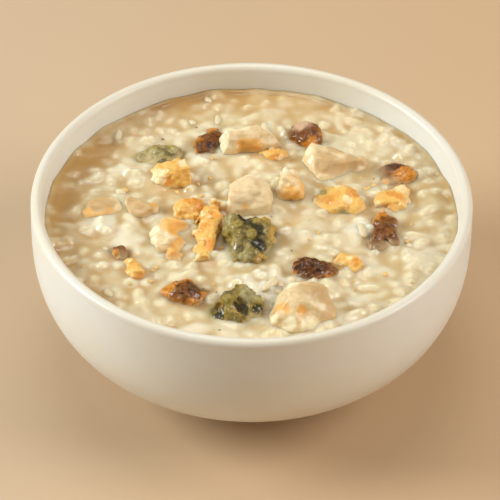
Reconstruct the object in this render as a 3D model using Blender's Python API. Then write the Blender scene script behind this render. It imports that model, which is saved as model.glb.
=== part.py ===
"""A bowl of rice congee with preserved egg, salted egg and lean meat.

The bowl is a turned ceramic solid on a low foot ring. The congee fills it to
about 9 mm below the rim, and every topping as large as a berry is a solid of
its own, set in a pocket of the congee.
Metres, +Z up, the bowl's axis on Z and its foot on the plane z = 0.
"""

import math

import bmesh
import bpy
from mathutils import Matrix, Vector, noise

MM = 0.001
GAP = 0.3 * MM                 # clearance between neighbouring pieces
TURN_STEPS = 44                # facets round the bowl and the congee
SHARP_FROM = math.radians(40)  # edges sharper than this aren't smoothed

# ---- bowl -----------------------------------------------------------------------

RIM_RADIUS = 65.0 * MM         # outside of the lip
BOWL_HEIGHT = 56.5 * MM
LIP = 1.75 * MM                # half the wall at the lip, and the radius of its round edge
FOOT_RADIUS = 27.3 * MM        # outside of the foot ring
FOOT_WIDTH = 4.0 * MM
FOOT_HEIGHT = 2.6 * MM
FOOT_ROUND = 0.7 * MM
RECESS = 2.2 * MM              # height of the underside inside the foot ring
FLOOR = 7.6 * MM               # height of the floor inside, on the axis

# the handles of the two wall curves, (radius, depth below the rim)
OUTER_HANDLES = ((RIM_RADIUS, 19.5 * MM), (69.5 * MM, 42.3 * MM))
INNER_HANDLES = ((60.1 * MM, 19.5 * MM), (60.0 * MM, 51.3 * MM))
OUTER_STEPS = 10
INNER_STEPS = 10
LIP_STEPS = 4
FOOT_STEPS = 2

# ---- congee ---------------------------------------------------------------------

FILL_DEPTH = 8.6 * MM          # of the congee's top below the rim
CONGEE_LEVEL = BOWL_HEIGHT - FILL_DEPTH
SWELL = 0.9 * MM               # slow unevenness of the top, and its waves in a metre
SWELL_WAVES = 34
LUMPS = 0.8 * MM               # shorter lumps on it
LUMP_WAVES = 120
EDGE_MARGIN = 2.5 * MM         # its side follows the wall up to this far under the level
TOP_RINGS = 8

# ---- toppings -------------------------------------------------------------------
# place: x, y of the middle in mm; turn: degrees from +X; size: length, width in mm;
# rise: height over the congee in mm; corners: of the outline, the first of them at
# the angle first; soft: how far they are rounded off (1 is round); taper: how much
# narrower the far end is; lean: shift of the summit in mm; beside: the toppings it
# is cut back from.

TOPPINGS = {
    "jelly_1": dict(place=(-14.0, 34.0), turn=58, size=(14.5, 7.6), rise=2.6, corners=3, soft=0.35),
    "jelly_2": dict(place=(16.2, 36.8), turn=8, size=(10.6, 7.6), rise=4.6, corners=4, soft=0.45),
    "jelly_3": dict(place=(43.8, 19.8), turn=4, size=(13.0, 9.0), rise=2.8, corners=4, soft=0.5,
                    first=20),
    "jelly_4": dict(place=(38.6, -6.6), turn=62, size=(16.0, 8.6), rise=3.0, corners=3, soft=0.6,
                    first=180),
    "jelly_5": dict(place=(17.8, -25.4), turn=-14, size=(17.0, 12.6), rise=3.4, corners=3, soft=0.3,
                    lean=(-1.5, 0.5)),
    "jelly_6": dict(place=(-18.2, -36.0), turn=-8, size=(16.4, 10.6), rise=4.2, corners=4, soft=0.6),
    "jelly_7": dict(place=(-38.4, -17.6), turn=0, size=(4.6, 4.8), rise=1.6, corners=4, soft=0.6),
    "yolk_1": dict(place=(-27.6, 28.4), turn=14, size=(12.8, 7.4), rise=1.6, corners=5, soft=0.7),
    "yolk_2": dict(place=(-0.6, -12.4), turn=4, size=(17.2, 20.0), rise=7.0, corners=5, soft=0.45,
                   first=0, lean=(-1.5, 2.0)),
    "yolk_3": dict(place=(-4.2, -42.0), turn=14, size=(16.6, 13.6), rise=6.6, corners=5, soft=0.4,
                   first=10, lean=(0.5, 1.5)),
    "salted_1": dict(place=(6.2, 27.6), turn=4, size=(10.0, 5.6), rise=1.8, corners=4, soft=0.6,
                     beside=("meat_1",)),
    "salted_2": dict(place=(-25.2, 16.6), turn=6, size=(14.0, 10.4), rise=5.6, corners=4, soft=0.4,
                     lean=(3.0, 0.5), beside=("yolk_1",)),
    "salted_3": dict(place=(-18.4, 1.0), turn=34, size=(12.0, 10.0), rise=4.6, corners=3, soft=0.45,
                     first=60, lean=(1.0, 1.0), beside=("salted_4",)),
    "salted_4": dict(place=(-13.0, -9.4), turn=82, size=(26.0, 8.6), rise=6.0, corners=5, soft=0.4,
                     first=0, lean=(1.0, 3.0), beside=("yolk_2",)),
    "salted_5": dict(place=(-22.4, -18.4), turn=0, size=(4.8, 4.6), rise=2.0, corners=5, soft=0.8,
                     beside=("meat_4",)),
    "salted_6": dict(place=(-33.4, -25.4), turn=-55, size=(9.0, 5.4), rise=3.0, corners=5, soft=0.7),
    "salted_7": dict(place=(26.0, 6.6), turn=-6, size=(16.0, 13.2), rise=3.0, corners=5, soft=0.45,
                     first=70, beside=("meat_5",)),
    "salted_8": dict(place=(42.4, 8.4), turn=24, size=(12.6, 10.4), rise=3.2, corners=4, soft=0.5,
                     beside=("jelly_3",)),
    "salted_9": dict(place=(28.2, -21.2), turn=-24, size=(10.6, 6.6), rise=3.0, corners=4, soft=0.5,
                     beside=("jelly_5",)),
    "meat_1": dict(place=(0.2, 33.0), turn=-2, size=(22.6, 14.4), rise=7.0, corners=4, soft=0.45,
                   first=38, taper=0.5, lean=(-3.0, 0.5), beside=("jelly_1",)),
    "meat_2": dict(place=(-0.8, 7.0), turn=-16, size=(16.0, 17.0), rise=7.4, corners=5, soft=0.45,
                   beside=("yolk_2",)),
    "meat_3": dict(place=(11.4, 12.4), turn=84, size=(14.0, 9.6), rise=6.2, corners=4, soft=0.5,
                   beside=("meat_2",)),
    "meat_4": dict(place=(-23.8, -9.4), turn=74, size=(17.0, 12.4), rise=3.4, corners=5, soft=0.6,
                   beside=("salted_3", "salted_4")),
    "meat_5": dict(place=(24.6, 24.6), turn=-8, size=(21.6, 18.4), rise=4.4, corners=5, soft=0.4,
                   first=20),
    "meat_6": dict(place=(15.2, -42.4), turn=6, size=(22.8, 19.0), rise=7.0, corners=4, soft=0.45,
                   lean=(-1.0, 2.5)),
    "meat_7": dict(place=(-44.6, 2.4), turn=34, size=(14.0, 10.6), rise=2.0, corners=4, soft=0.5),
    "meat_8": dict(place=(-32.6, 2.8), turn=-14, size=(11.4, 9.6), rise=2.0, corners=5, soft=0.5),
}

AROUND = 10                    # points of a topping's outline
LEVELS = (0.55, 0.87, 1.0)     # its rings, from near the tip to the widest, as shares of the outline
SINK = 0.5                     # depth below the level, as a share of its width
UNEVEN = 0.16                  # unevenness of its faces, as a share of its rise
UNEVEN_WAVES = 300             # waves of that in a metre
CORNER_ANGLES = {3: 0, 4: 45, 5: 90}   # where the first corner points, unless first says so

# ---- finishes: base colour, roughness -------------------------------------------

FINISHES = {
    "bowl": ((0.84, 0.80, 0.70), 0.35),
    "congee": ((0.72, 0.60, 0.40), 0.30),
    "jelly": ((0.22, 0.09, 0.03), 0.20),
    "yolk": ((0.10, 0.11, 0.05), 0.40),
    "salted": ((0.85, 0.48, 0.14), 0.45),
    "meat": ((0.80, 0.64, 0.40), 0.45),
}


def clear_scene():
    for thing in list(bpy.data.objects):
        bpy.data.objects.remove(thing)


def finish_for(kind):
    """The material of one kind of piece, made once."""
    found = bpy.data.materials.get(kind)
    if found:
        return found
    colour, roughness = FINISHES[kind]
    material = bpy.data.materials.new(kind)
    material.use_nodes = True
    shader = material.node_tree.nodes["Principled BSDF"]
    shader.inputs["Base Color"].default_value = (*colour, 1)
    shader.inputs["Roughness"].default_value = roughness
    shader.inputs["Metallic"].default_value = 0.0
    return material


def add_piece(name, bm, kind, collection=None):
    """Turns a bmesh into an object with its finish."""
    mesh = bpy.data.meshes.new(name)
    bm.to_mesh(mesh)
    bm.free()
    mesh.shade_smooth()
    mesh.set_sharp_from_angle(angle=SHARP_FROM)
    piece = bpy.data.objects.new(name, mesh)
    piece.data.materials.append(finish_for(kind))
    (collection or bpy.context.scene.collection).objects.link(piece)
    return piece


def skin(bm, rings, first_tip, last_tip):
    """Triangles over a list of vertex rings of one length, closed by a vertex at either end."""
    for lower, upper in zip(rings, rings[1:]):
        for i in range(len(lower)):
            j = (i + 1) % len(lower)
            bm.faces.new((lower[i], lower[j], upper[j], upper[i]))
    for tip, ring in ((first_tip, rings[0]), (last_tip, rings[-1])):
        for i in range(len(ring)):
            bm.faces.new((ring[i], ring[(i + 1) % len(ring)], tip))
    bmesh.ops.triangulate(bm, faces=bm.faces)
    bmesh.ops.recalc_face_normals(bm, faces=bm.faces)


# ---- the bowl -------------------------------------------------------------------

def bezier(p0, p1, p2, p3, t):
    s = 1 - t
    return [s ** 3 * a + 3 * s * s * t * b + 3 * s * t * t * c + t ** 3 * d
            for a, b, c, d in zip(p0, p1, p2, p3)]


def arc(centre, radius, start, end, steps):
    """Points (r, z) of an arc, angles in degrees."""
    turns = [math.radians(start + (end - start) * i / steps) for i in range(steps + 1)]
    return [(centre[0] + radius * math.cos(a), centre[1] + radius * math.sin(a)) for a in turns]


def wall(top, handles, bottom, t):
    """A wall curve (r, z): t is 0 under the lip and 1 at its lower end."""
    upper, lower = [(r, BOWL_HEIGHT - depth) for r, depth in handles]
    return bezier(top, upper, lower, bottom, t)


def outer_wall(t):
    return wall((RIM_RADIUS, BOWL_HEIGHT - LIP), OUTER_HANDLES, (FOOT_RADIUS, FOOT_HEIGHT), t)


def inner_wall(t):
    return wall((RIM_RADIUS - 2 * LIP, BOWL_HEIGHT - LIP), INNER_HANDLES, (0.0, FLOOR), t)


def bowl_profile():
    """Half section (r, z) from the middle of the underside out, up and back in."""
    inside_foot = FOOT_RADIUS - FOOT_WIDTH
    points = [(0.0, RECESS), (inside_foot - FOOT_ROUND, RECESS), (inside_foot, RECESS - FOOT_ROUND)]
    points += arc((inside_foot + FOOT_ROUND, FOOT_ROUND), FOOT_ROUND, 180, 270, FOOT_STEPS)
    points += arc((FOOT_RADIUS - FOOT_ROUND, FOOT_ROUND), FOOT_ROUND, 270, 360, FOOT_STEPS)
    points += [outer_wall(1 - i / OUTER_STEPS) for i in range(OUTER_STEPS)]
    points += arc((RIM_RADIUS - LIP, BOWL_HEIGHT - LIP), LIP, 0, 180, LIP_STEPS)
    points += [inner_wall(i / INNER_STEPS) for i in range(1, INNER_STEPS + 1)]
    return points


def make_bowl():
    bm = bmesh.new()
    profile = [bm.verts.new((r, 0, z)) for r, z in bowl_profile()]
    edges = [bm.edges.new(pair) for pair in zip(profile, profile[1:])]
    bmesh.ops.spin(bm, geom=profile + edges, cent=(0, 0, 0), axis=(0, 0, 1),
                   angle=math.tau, steps=TURN_STEPS, use_merge=True)
    bmesh.ops.remove_doubles(bm, verts=bm.verts, dist=1e-6)
    bmesh.ops.recalc_face_normals(bm, faces=bm.faces)
    return add_piece("bowl", bm, "bowl")


# ---- the congee -----------------------------------------------------------------

def surface_height(x, y):
    """Height of the congee's top over the foot's plane."""
    swell = noise.noise(Vector((x, y, 0)) * SWELL_WAVES)
    lumps = noise.noise(Vector((x, y, 1)) * LUMP_WAVES)
    return CONGEE_LEVEL + SWELL * swell + LUMPS * lumps


def wall_radius(height):
    """Radius of the bowl's faceted inside at a height."""
    rings = [inner_wall(i / INNER_STEPS) for i in range(INNER_STEPS + 1)]
    for (upper_r, upper_z), (lower_r, lower_z) in zip(rings, rings[1:]):
        if lower_z <= height:
            share = (height - lower_z) / (upper_z - lower_z)
            return lower_r + (upper_r - lower_r) * share
    return 0.0


def side_point(step):
    """A point (r, z) of the congee's side, the gap off a ring of the bowl's inside."""
    before, here, after = [Vector(inner_wall((step + k) / INNER_STEPS)) for k in (-1, 0, 1)]
    along = (before - here).normalized() + (here - after).normalized()
    return here + Vector((-along.y, along.x)).normalized() * GAP


def make_congee():
    bm = bmesh.new()
    turns = [math.tau * i / TURN_STEPS for i in range(TURN_STEPS)]
    rings = []
    for step in range(INNER_STEPS - 1, 0, -1):
        radius, height = side_point(step)
        if height < CONGEE_LEVEL - EDGE_MARGIN:
            rings.append([bm.verts.new((radius * math.cos(a), radius * math.sin(a), height))
                          for a in turns])
    for i in range(TOP_RINGS):
        ring = []
        for a in turns:
            radius = wall_radius(CONGEE_LEVEL) * (1 - i / TOP_RINGS)
            height = surface_height(radius * math.cos(a), radius * math.sin(a))
            if i == 0:
                radius = wall_radius(height) - GAP
            ring.append(bm.verts.new((radius * math.cos(a), radius * math.sin(a), height)))
        rings.append(ring)
    skin(bm, rings, bm.verts.new((0, 0, FLOOR + GAP)), bm.verts.new((0, 0, surface_height(0, 0))))
    return add_piece("congee", bm, "congee")


# ---- the toppings ---------------------------------------------------------------

def outline(angle, corners, soft):
    """Radius of a regular outline of so many corners, eased towards a circle by soft."""
    step = math.tau / corners
    flat = math.cos(step / 2) / math.cos((angle % step) - step / 2)
    return flat + (1 - flat) * soft


def topping_mesh(place, turn, size, rise, corners, soft, first=None, taper=0.0, lean=(0.0, 0.0),
                 beside=()):
    """A closed lump: an outline with corners, domed above and below its widest ring."""
    half = Vector(size) / 2 * MM
    middle = Vector(place) * MM
    level = surface_height(*middle)
    seed = Vector((*place, corners))
    turned = Matrix.Rotation(math.radians(turn), 2)
    start = math.radians(CORNER_ANGLES[corners] if first is None else first)

    def point(angle, share, above):
        reach = outline(angle - start, corners, soft) * share
        flat = Vector((reach * math.cos(angle) * half.x, reach * math.sin(angle) * half.y))
        flat.y *= 1 - taper * (flat.x / half.x + 1) / 2
        dome = (1 - share ** 3) ** 0.5
        height = dome * (rise if above else -SINK * size[1]) * MM
        wobble = noise.noise(seed + Vector((*flat, height)) * UNEVEN_WAVES)
        flat = turned @ flat
        if above:
            flat += Vector(lean) * MM * dome
        return Vector((*(middle + flat), level + height + wobble * UNEVEN * rise * MM * dome))

    bm = bmesh.new()
    rings = [(share, True) for share in LEVELS] + [(share, False) for share in LEVELS[-2::-1]]
    verts = [[bm.verts.new(point(math.tau * i / AROUND, share, above)) for i in range(AROUND)]
             for share, above in rings]
    skin(bm, verts, bm.verts.new(point(0, 0, True)), bm.verts.new(point(0, 0, False)))
    return bm


def grown(bm, distance):
    """The same lump with every face moved out by a distance."""
    bm.normal_update()
    moves = [(v, v.normal * v.calc_shell_factor() * distance) for v in bm.verts]
    for vert, move in moves:
        vert.co += move
    return bm


def cut(piece, **cutter):
    """Takes a cutter, object=... or collection=..., out of a piece."""
    boolean = piece.modifiers.new("cut", "BOOLEAN")
    boolean.operation = "DIFFERENCE"
    boolean.solver = "EXACT"
    boolean.operand_type = next(iter(cutter)).upper()
    for field, value in cutter.items():
        setattr(boolean, field, value)


def make_toppings(congee):
    """Adds each topping, and cuts its pocket, a gap wider all round, into the congee."""
    pockets = bpy.data.collections.new("pockets")
    bpy.context.scene.collection.children.link(pockets)
    for name, form in TOPPINGS.items():
        pocket = add_piece(name + "_pocket", grown(topping_mesh(**form), GAP), "congee", pockets)
        pocket.hide_render = True
        pocket.display_type = "WIRE"
    cut(congee, collection=pockets)
    for name, form in TOPPINGS.items():
        topping = add_piece(name, topping_mesh(**form), name.split("_")[0])
        for other in form.get("beside", ()):
            cut(topping, object=pockets.objects[other + "_pocket"])


clear_scene()
make_bowl()
make_toppings(make_congee())
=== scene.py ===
import math

import bmesh
import bpy
import numpy as np
from mathutils import Matrix, Vector, noise


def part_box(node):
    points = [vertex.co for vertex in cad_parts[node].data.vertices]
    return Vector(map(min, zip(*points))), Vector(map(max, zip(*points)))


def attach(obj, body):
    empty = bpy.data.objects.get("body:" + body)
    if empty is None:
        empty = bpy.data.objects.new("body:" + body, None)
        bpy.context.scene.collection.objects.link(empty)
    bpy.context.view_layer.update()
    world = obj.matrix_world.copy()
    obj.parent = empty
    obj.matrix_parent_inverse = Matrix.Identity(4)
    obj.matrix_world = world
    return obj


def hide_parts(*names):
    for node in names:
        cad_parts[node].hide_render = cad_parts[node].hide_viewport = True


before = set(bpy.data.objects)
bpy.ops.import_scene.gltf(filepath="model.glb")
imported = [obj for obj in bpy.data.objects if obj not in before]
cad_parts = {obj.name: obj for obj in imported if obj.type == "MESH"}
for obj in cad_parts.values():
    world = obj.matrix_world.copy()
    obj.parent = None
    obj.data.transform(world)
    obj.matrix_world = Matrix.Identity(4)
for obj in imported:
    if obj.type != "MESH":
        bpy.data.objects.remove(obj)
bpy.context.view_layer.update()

# A bowl of rice congee. Tables are in millimetres, the scene is in metres.
mm = 0.001
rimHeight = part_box("bowl")[1].z
print("frame:", len(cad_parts), "solids, rim at", round(rimHeight / mm, 1), "mm")


def paint(red, green, blue):
    # a colour picked on screen, 0 to 255, as the linear colour a shader takes
    shades = [value / 255 for value in (red, green, blue)]
    return tuple(((s + 0.055) / 1.055) ** 2.4 if s > 0.04 else s / 12.92 for s in shades)


# Shader nodes written as sums

class Wire:
    # an output socket; arithmetic on it adds Math nodes
    def __init__(self, finish, socket):
        self.finish = finish
        self.socket = socket

    def maths(self, operation, *values):
        return self.finish.node("Math", {"operation": operation}, dict(enumerate(values)))

    def __add__(self, other):
        return self.maths("ADD", self, other)

    def __radd__(self, other):
        return self.maths("ADD", other, self)

    def __sub__(self, other):
        return self.maths("SUBTRACT", self, other)

    def __rsub__(self, other):
        return self.maths("SUBTRACT", other, self)

    def __mul__(self, other):
        return self.maths("MULTIPLY", self, other)

    def __rmul__(self, other):
        return self.maths("MULTIPLY", other, self)

    def __abs__(self):
        return self.maths("ABSOLUTE", self)

    def between(self, low, high):
        # 0 at low, 1 at high, eased
        settings = {"interpolation_type": "SMOOTHSTEP"}
        sockets = {"Value": self, "From Min": low, "From Max": high}
        return self.finish.node("MapRange", settings, sockets)


class Finish:
    # one material; constants go straight onto the shader's sockets
    def __init__(self, name, **constants):
        self.material = bpy.data.materials.new(name)
        self.material.use_nodes = True
        self.tree = self.material.node_tree
        self.shader = self.tree.nodes["Principled BSDF"]
        for socket, value in constants.items():
            self.shader.inputs[socket.replace("_", " ")].default_value = value
        self.place = self.node("TexCoord", out="Object")

    def node(self, kind, settings=None, sockets=None, out=0):
        made = self.tree.nodes.new("ShaderNode" + kind)
        for name, value in (settings or {}).items():
            setattr(made, name, value)
        for name, value in (sockets or {}).items():
            if isinstance(value, Wire):
                self.tree.links.new(value.socket, made.inputs[name])
            else:
                made.inputs[name].default_value = value
        return Wire(self, made.outputs[out])

    def speckle(self, scale, detail=2.0, roughness=0.5, place=None):
        sockets = {"Vector": place or self.place, "Scale": scale, "Detail": detail, "Roughness": roughness}
        return self.node("TexNoise", None, sockets)

    def cells(self, scale):
        # distance to the nearest of scattered points
        return self.node("TexVoronoi", None, {"Vector": self.place, "Scale": scale})

    def mask(self, name):
        # a value stored on the mesh's points
        return self.node("Attribute", {"attribute_name": name}, out="Fac")

    def mix(self, share, first, second, blend="MIX"):
        colours = [c if isinstance(c, Wire) else (*c, 1) for c in (first, second)]
        settings = {"data_type": "RGBA", "blend_type": blend}
        return self.node("Mix", settings, {0: share, 6: colours[0], 7: colours[1]}, out=2)

    def bump(self, height, strength, distance):
        return self.node("Bump", None, {"Height": height, "Strength": strength, "Distance": distance})

    def finished(self, **wires):
        for socket, wire in wires.items():
            self.tree.links.new(wire.socket, self.shader.inputs[socket.replace("_", " ")])
        return self.material


# Noise on arrays of points, for sculpting

latticeSize = 64
drawn = np.random.default_rng(5)
lattice = drawn.random((latticeSize,) * 3)
jitter = drawn.random((latticeSize,) * 3 + (3,))


def latticeAt(table, cell):
    wrapped = cell % latticeSize
    return table[wrapped[..., 0], wrapped[..., 1], wrapped[..., 2]]


def softNoise(points, waves, seed=0.0):
    # smooth, -1 to 1, so many waves in a metre
    q = points * waves + seed * 7.31 + 100
    cell = np.floor(q).astype(int)
    ease = q - cell
    ease = ease * ease * (3 - 2 * ease)
    total = np.zeros(len(q))
    for step in np.ndindex(2, 2, 2):
        weight = np.prod(np.where(step, ease, 1 - ease), axis=1)
        total += weight * latticeAt(lattice, cell + step)
    return total * 2 - 1


spin = np.array(Matrix.Rotation(0.9, 3, Vector((0.5, 0.7, 0.3))))


def layeredNoise(points, waves, layers=3, seed=0.0):
    total = np.zeros(len(points))
    for layer in range(layers):
        points = points @ spin
        total += softNoise(points, waves * 2 ** layer, seed + layer) / 2 ** layer
    return total / 1.5


def cellNoise(points, waves, seed=0.0):
    # distances to the nearest and the next of scattered points, and the nearest one's own value
    q = points * waves + seed * 3.7 + 100
    cell = np.floor(q).astype(int)
    nearest = np.full(len(q), 9.0)
    second = nearest.copy()
    own = np.zeros(len(q))
    for step in np.ndindex(3, 3, 3):
        home = cell + step - 1
        gap = np.linalg.norm(q - home - latticeAt(jitter, home), axis=1)
        closer = gap < nearest
        second = np.where(closer, nearest, np.minimum(second, gap))
        own = np.where(closer, latticeAt(lattice, home), own)
        nearest = np.where(closer, gap, nearest)
    return nearest, second, own


def eased(low, high, value):
    # 0 at low, 1 at high, with no corners
    t = np.clip((value - low) / (high - low), 0, 1)
    return t * t * (3 - 2 * t)


# Meshes as arrays

def pointsOf(mesh, field="co", layer=None):
    values = np.empty(len(mesh.vertices) * 3, np.float32)
    (layer or mesh.vertices).foreach_get(field, values)
    return values.reshape(-1, 3).astype(float)


def setPoints(mesh, points):
    mesh.vertices.foreach_set("co", points.astype(np.float32).ravel())
    mesh.update()


def setMask(mesh, name, values):
    mask = mesh.attributes.new(name, "FLOAT", "POINT")
    mask.data.foreach_set("value", np.broadcast_to(values, len(mesh.vertices)).astype(np.float32))


def meshFrom(name, points, faces):
    mesh = bpy.data.meshes.new(name)
    mesh.from_pydata(points.tolist(), [], faces)
    mesh.update()
    return mesh


def addPiece(name, mesh, material, slot, *nodes):
    mesh.materials.clear()
    mesh.materials.append(material)
    mesh.shade_smooth()
    piece = bpy.data.objects.new(name, mesh)
    bpy.context.scene.collection.objects.link(piece)
    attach(piece, "root")
    for node in nodes:
        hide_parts(node)
    return piece


def hollows(mesh, points):
    # how far each point lies under its neighbours, in metres: positive in creases
    edges = np.empty(len(mesh.edges) * 2, np.int32)
    mesh.edges.foreach_get("vertices", edges)
    a, b = edges.reshape(-1, 2).T
    total = np.zeros_like(points)
    count = np.zeros(len(points))
    for here, there in ((a, b), (b, a)):
        np.add.at(total, here, points[there])
        np.add.at(count, here, 1)
    normals = pointsOf(mesh, "vector", mesh.vertex_normals)
    return np.sum((total / count[:, None] - points) * normals, axis=1)


# The camera and the light

cameraLook = dict(distance=780, elevation=39.67, roll=0.65, aimDown=1.222, aimLeft=0.037, lens=191.0)


def makeCamera():
    camera = bpy.data.cameras.new("camera")
    camera.lens = cameraLook["lens"]
    camera.sensor_width = 36.0
    camera.clip_start = 0.01
    eye = bpy.data.objects.new("camera", camera)
    bpy.context.scene.collection.objects.link(eye)
    elevation = math.radians(cameraLook["elevation"])
    away = Vector((0, -math.cos(elevation), math.sin(elevation))) * cameraLook["distance"] * mm
    eye.matrix_world = (
        Matrix.Translation(Vector((0, 0, rimHeight)) + away)
        @ Matrix.Rotation(math.pi / 2 - elevation, 4, "X")
        @ Matrix.Rotation(math.radians(cameraLook["roll"]), 4, "Z")
        @ Matrix.Rotation(math.radians(cameraLook["aimLeft"]), 4, "Y")
        @ Matrix.Rotation(math.radians(-cameraLook["aimDown"]), 4, "X")
    )
    bpy.context.scene.camera = eye


lightLook = dict(
    lamps={
        # name: turn from +X and height above the table in degrees, distance and size in mm, watts, colour
        "window": dict(turn=178, height=29, distance=1100, size=560, power=12.6, colour=(0.9, 0.975, 1.0)),
        "ceiling": dict(turn=100, height=76, distance=1100, size=620, power=3.2, colour=(1.0, 0.98, 0.95)),
        "wall": dict(turn=-10, height=37, distance=1100, size=700, power=7.9, colour=(1.0, 0.985, 0.96)),
    },
    sky=(1.0, 0.96, 0.9), skyStrength=0.14,
    floorCool=paint(204, 177, 146), floorWarm=paint(206, 170, 127),
    floorDrift=(-0.2, 0.26),              # metres along X from the cool side to the warm one
)


def makeLight():
    for name, look in lightLook["lamps"].items():
        lamp = bpy.data.lights.new(name, "AREA")
        lamp.shape = "DISK"
        lamp.size = look["size"] * mm
        lamp.energy = look["power"]
        lamp.color = look["colour"]
        holder = bpy.data.objects.new(name, lamp)
        bpy.context.scene.collection.objects.link(holder)
        turn, height = math.radians(look["turn"]), math.radians(look["height"])
        flat = math.cos(height)
        way = Vector((math.cos(turn) * flat, math.sin(turn) * flat, math.sin(height)))
        holder.location = Vector((0, 0, rimHeight)) + way * look["distance"] * mm
        holder.rotation_euler = way.to_track_quat("Z", "Y").to_euler()
    world = bpy.data.worlds.new("sky")
    world.use_nodes = True
    background = world.node_tree.nodes["Background"]
    background.inputs["Color"].default_value = (*lightLook["sky"], 1)
    background.inputs["Strength"].default_value = lightLook["skyStrength"]
    bpy.context.scene.world = world
    bpy.context.scene.view_settings.view_transform = "Standard"


def makeFloor():
    finish = Finish("tabletop", Roughness=0.6)
    drift = finish.node("SeparateXYZ", None, {0: finish.place}) + finish.speckle(6, 2) * 0.06
    warmth = drift.between(*lightLook["floorDrift"])
    colour = finish.mix(warmth, lightLook["floorCool"], lightLook["floorWarm"])
    material = finish.finished(Base_Color=colour)
    half = 2.0
    corners = np.array([(-half, -half, 0), (half, -half, 0), (half, half, 0), (-half, half, 0)])
    floor = bpy.data.objects.new("floor", meshFrom("floor", corners, [(0, 1, 2, 3)]))
    floor.data.materials.append(material)
    bpy.context.scene.collection.objects.link(floor)


makeCamera()
makeLight()
makeFloor()
print("camera, light and floor done")

# The bowl: the same turned section as its solid, made fine, with a hand-finished unevenness

bowlLook = dict(
    lip=1.75,                             # half the wall at the lip
    foot=27.3, footWidth=4.0, footHeight=2.6, footRound=0.7, recess=2.2,
    floor=7.6,                            # height of the floor inside
    outerHandles=((65.0, 19.5), (69.5, 42.3)),
    innerHandles=((60.1, 19.5), (60.0, 51.3)),
    wallSteps=44, lipSteps=14, footSteps=6, around=200,
    wobble=0.09, wobbleWaves=45,
    grip=6.0,                             # height over which the wobble sets in
    thinBand=(2.5, 0.3),                  # depths under the rim between which the lip's colour sets in
    cream=paint(240, 238, 229), warm=paint(237, 231, 216), speck=paint(216, 202, 176),
    thin=paint(224, 210, 182),            # a darker, warmer colour laid over the lip
)


def bezier(p0, p1, p2, p3, t):
    s = 1 - t
    return [s ** 3 * a + 3 * s * s * t * b + 3 * s * t * t * c + t ** 3 * d
            for a, b, c, d in zip(p0, p1, p2, p3)]


def arc(centre, radius, start, end, steps):
    turns = [math.radians(start + (end - start) * i / steps) for i in range(steps + 1)]
    return [(centre[0] + radius * math.cos(a), centre[1] + radius * math.sin(a)) for a in turns]


rimRadius = max(math.hypot(v.co.x, v.co.y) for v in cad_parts["bowl"].data.vertices
                if v.co.z > rimHeight - 2 * bowlLook["lip"] * mm) / mm


def wallPoint(top, handles, bottom, t):
    rim = rimHeight / mm
    upper, lower = [(radius, rim - depth) for radius, depth in handles]
    return bezier((top, rim - bowlLook["lip"]), upper, lower, bottom, t)


def innerWall(t):
    top = rimRadius - 2 * bowlLook["lip"]
    return wallPoint(top, bowlLook["innerHandles"], (0.0, bowlLook["floor"]), t)


def outerWall(t):
    bottom = (bowlLook["foot"], bowlLook["footHeight"])
    return wallPoint(rimRadius, bowlLook["outerHandles"], bottom, t)


def bowlSection():
    look = bowlLook
    lip, turn, recess = look["lip"], look["footRound"], look["recess"]
    inside = look["foot"] - look["footWidth"]
    steps = look["wallSteps"]
    points = [(inside * share, recess) for share in (0, 0.3, 0.6, 0.9)] + [(inside, recess - turn)]
    points += arc((inside + turn, turn), turn, 180, 270, look["footSteps"])
    points += arc((look["foot"] - turn, turn), turn, 270, 360, look["footSteps"])
    points += [outerWall(1 - i / steps) for i in range(steps)]
    points += arc((rimRadius - lip, rimHeight / mm - lip), lip, 0, 180, look["lipSteps"])
    points += [innerWall(i / steps) for i in range(1, steps + 1)]
    return np.array(points) * mm


def turned(name, section, around):
    # a section from the axis round to the axis again, spun into a closed skin
    angles = np.arange(around) * math.tau / around
    rings = section[1:-1]
    across, along = np.cos(angles), np.sin(angles)
    points = [np.stack((r * across, r * along, np.full(around, z)), axis=1) for r, z in rings]
    points = np.concatenate(points + [[(0, 0, section[0, 1])], [(0, 0, section[-1, 1])]])
    first, last = len(points) - 2, len(points) - 1
    top = (len(rings) - 1) * around
    faces = []
    for i in range(around):
        j = (i + 1) % around
        faces.append((first, j, i))
        faces.append((last, top + i, top + j))
        for ring in range(0, top, around):
            faces.append((ring + i, ring + j, ring + around + j, ring + around + i))
    return meshFrom(name, points, faces)


def glazeFinish():
    finish = Finish("satin_glaze", Subsurface_Weight=0.25, Subsurface_Radius=(1.0, 0.75, 0.5),
                    Subsurface_Scale=0.0025, Coat_Roughness=0.3, IOR=1.45)
    clouds = finish.speckle(22, 3, 0.55)
    pits = finish.cells(900).between(0.1, 0.2)
    freckles = (1 - finish.cells(260).between(0.02, 0.07)) * finish.speckle(70, 1).between(0.5, 0.65)
    colour = finish.mix(clouds.between(0.35, 0.7), bowlLook["cream"], bowlLook["warm"])
    colour = finish.mix(freckles * 0.35, colour, bowlLook["speck"])
    # the lip is darkened and warmed
    colour = finish.mix(finish.mask("lip") * (0.4 + clouds * 0.4), colour, bowlLook["thin"])
    ripple = finish.speckle(160, 3, 0.6) + pits * 0.25
    return finish.finished(
        Base_Color=colour,
        Roughness=0.36 + clouds * 0.1,
        Coat_Weight=0.25 + finish.speckle(35) * 0.3,
        Normal=finish.bump(ripple, 0.12, 0.0003),
    )


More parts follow.
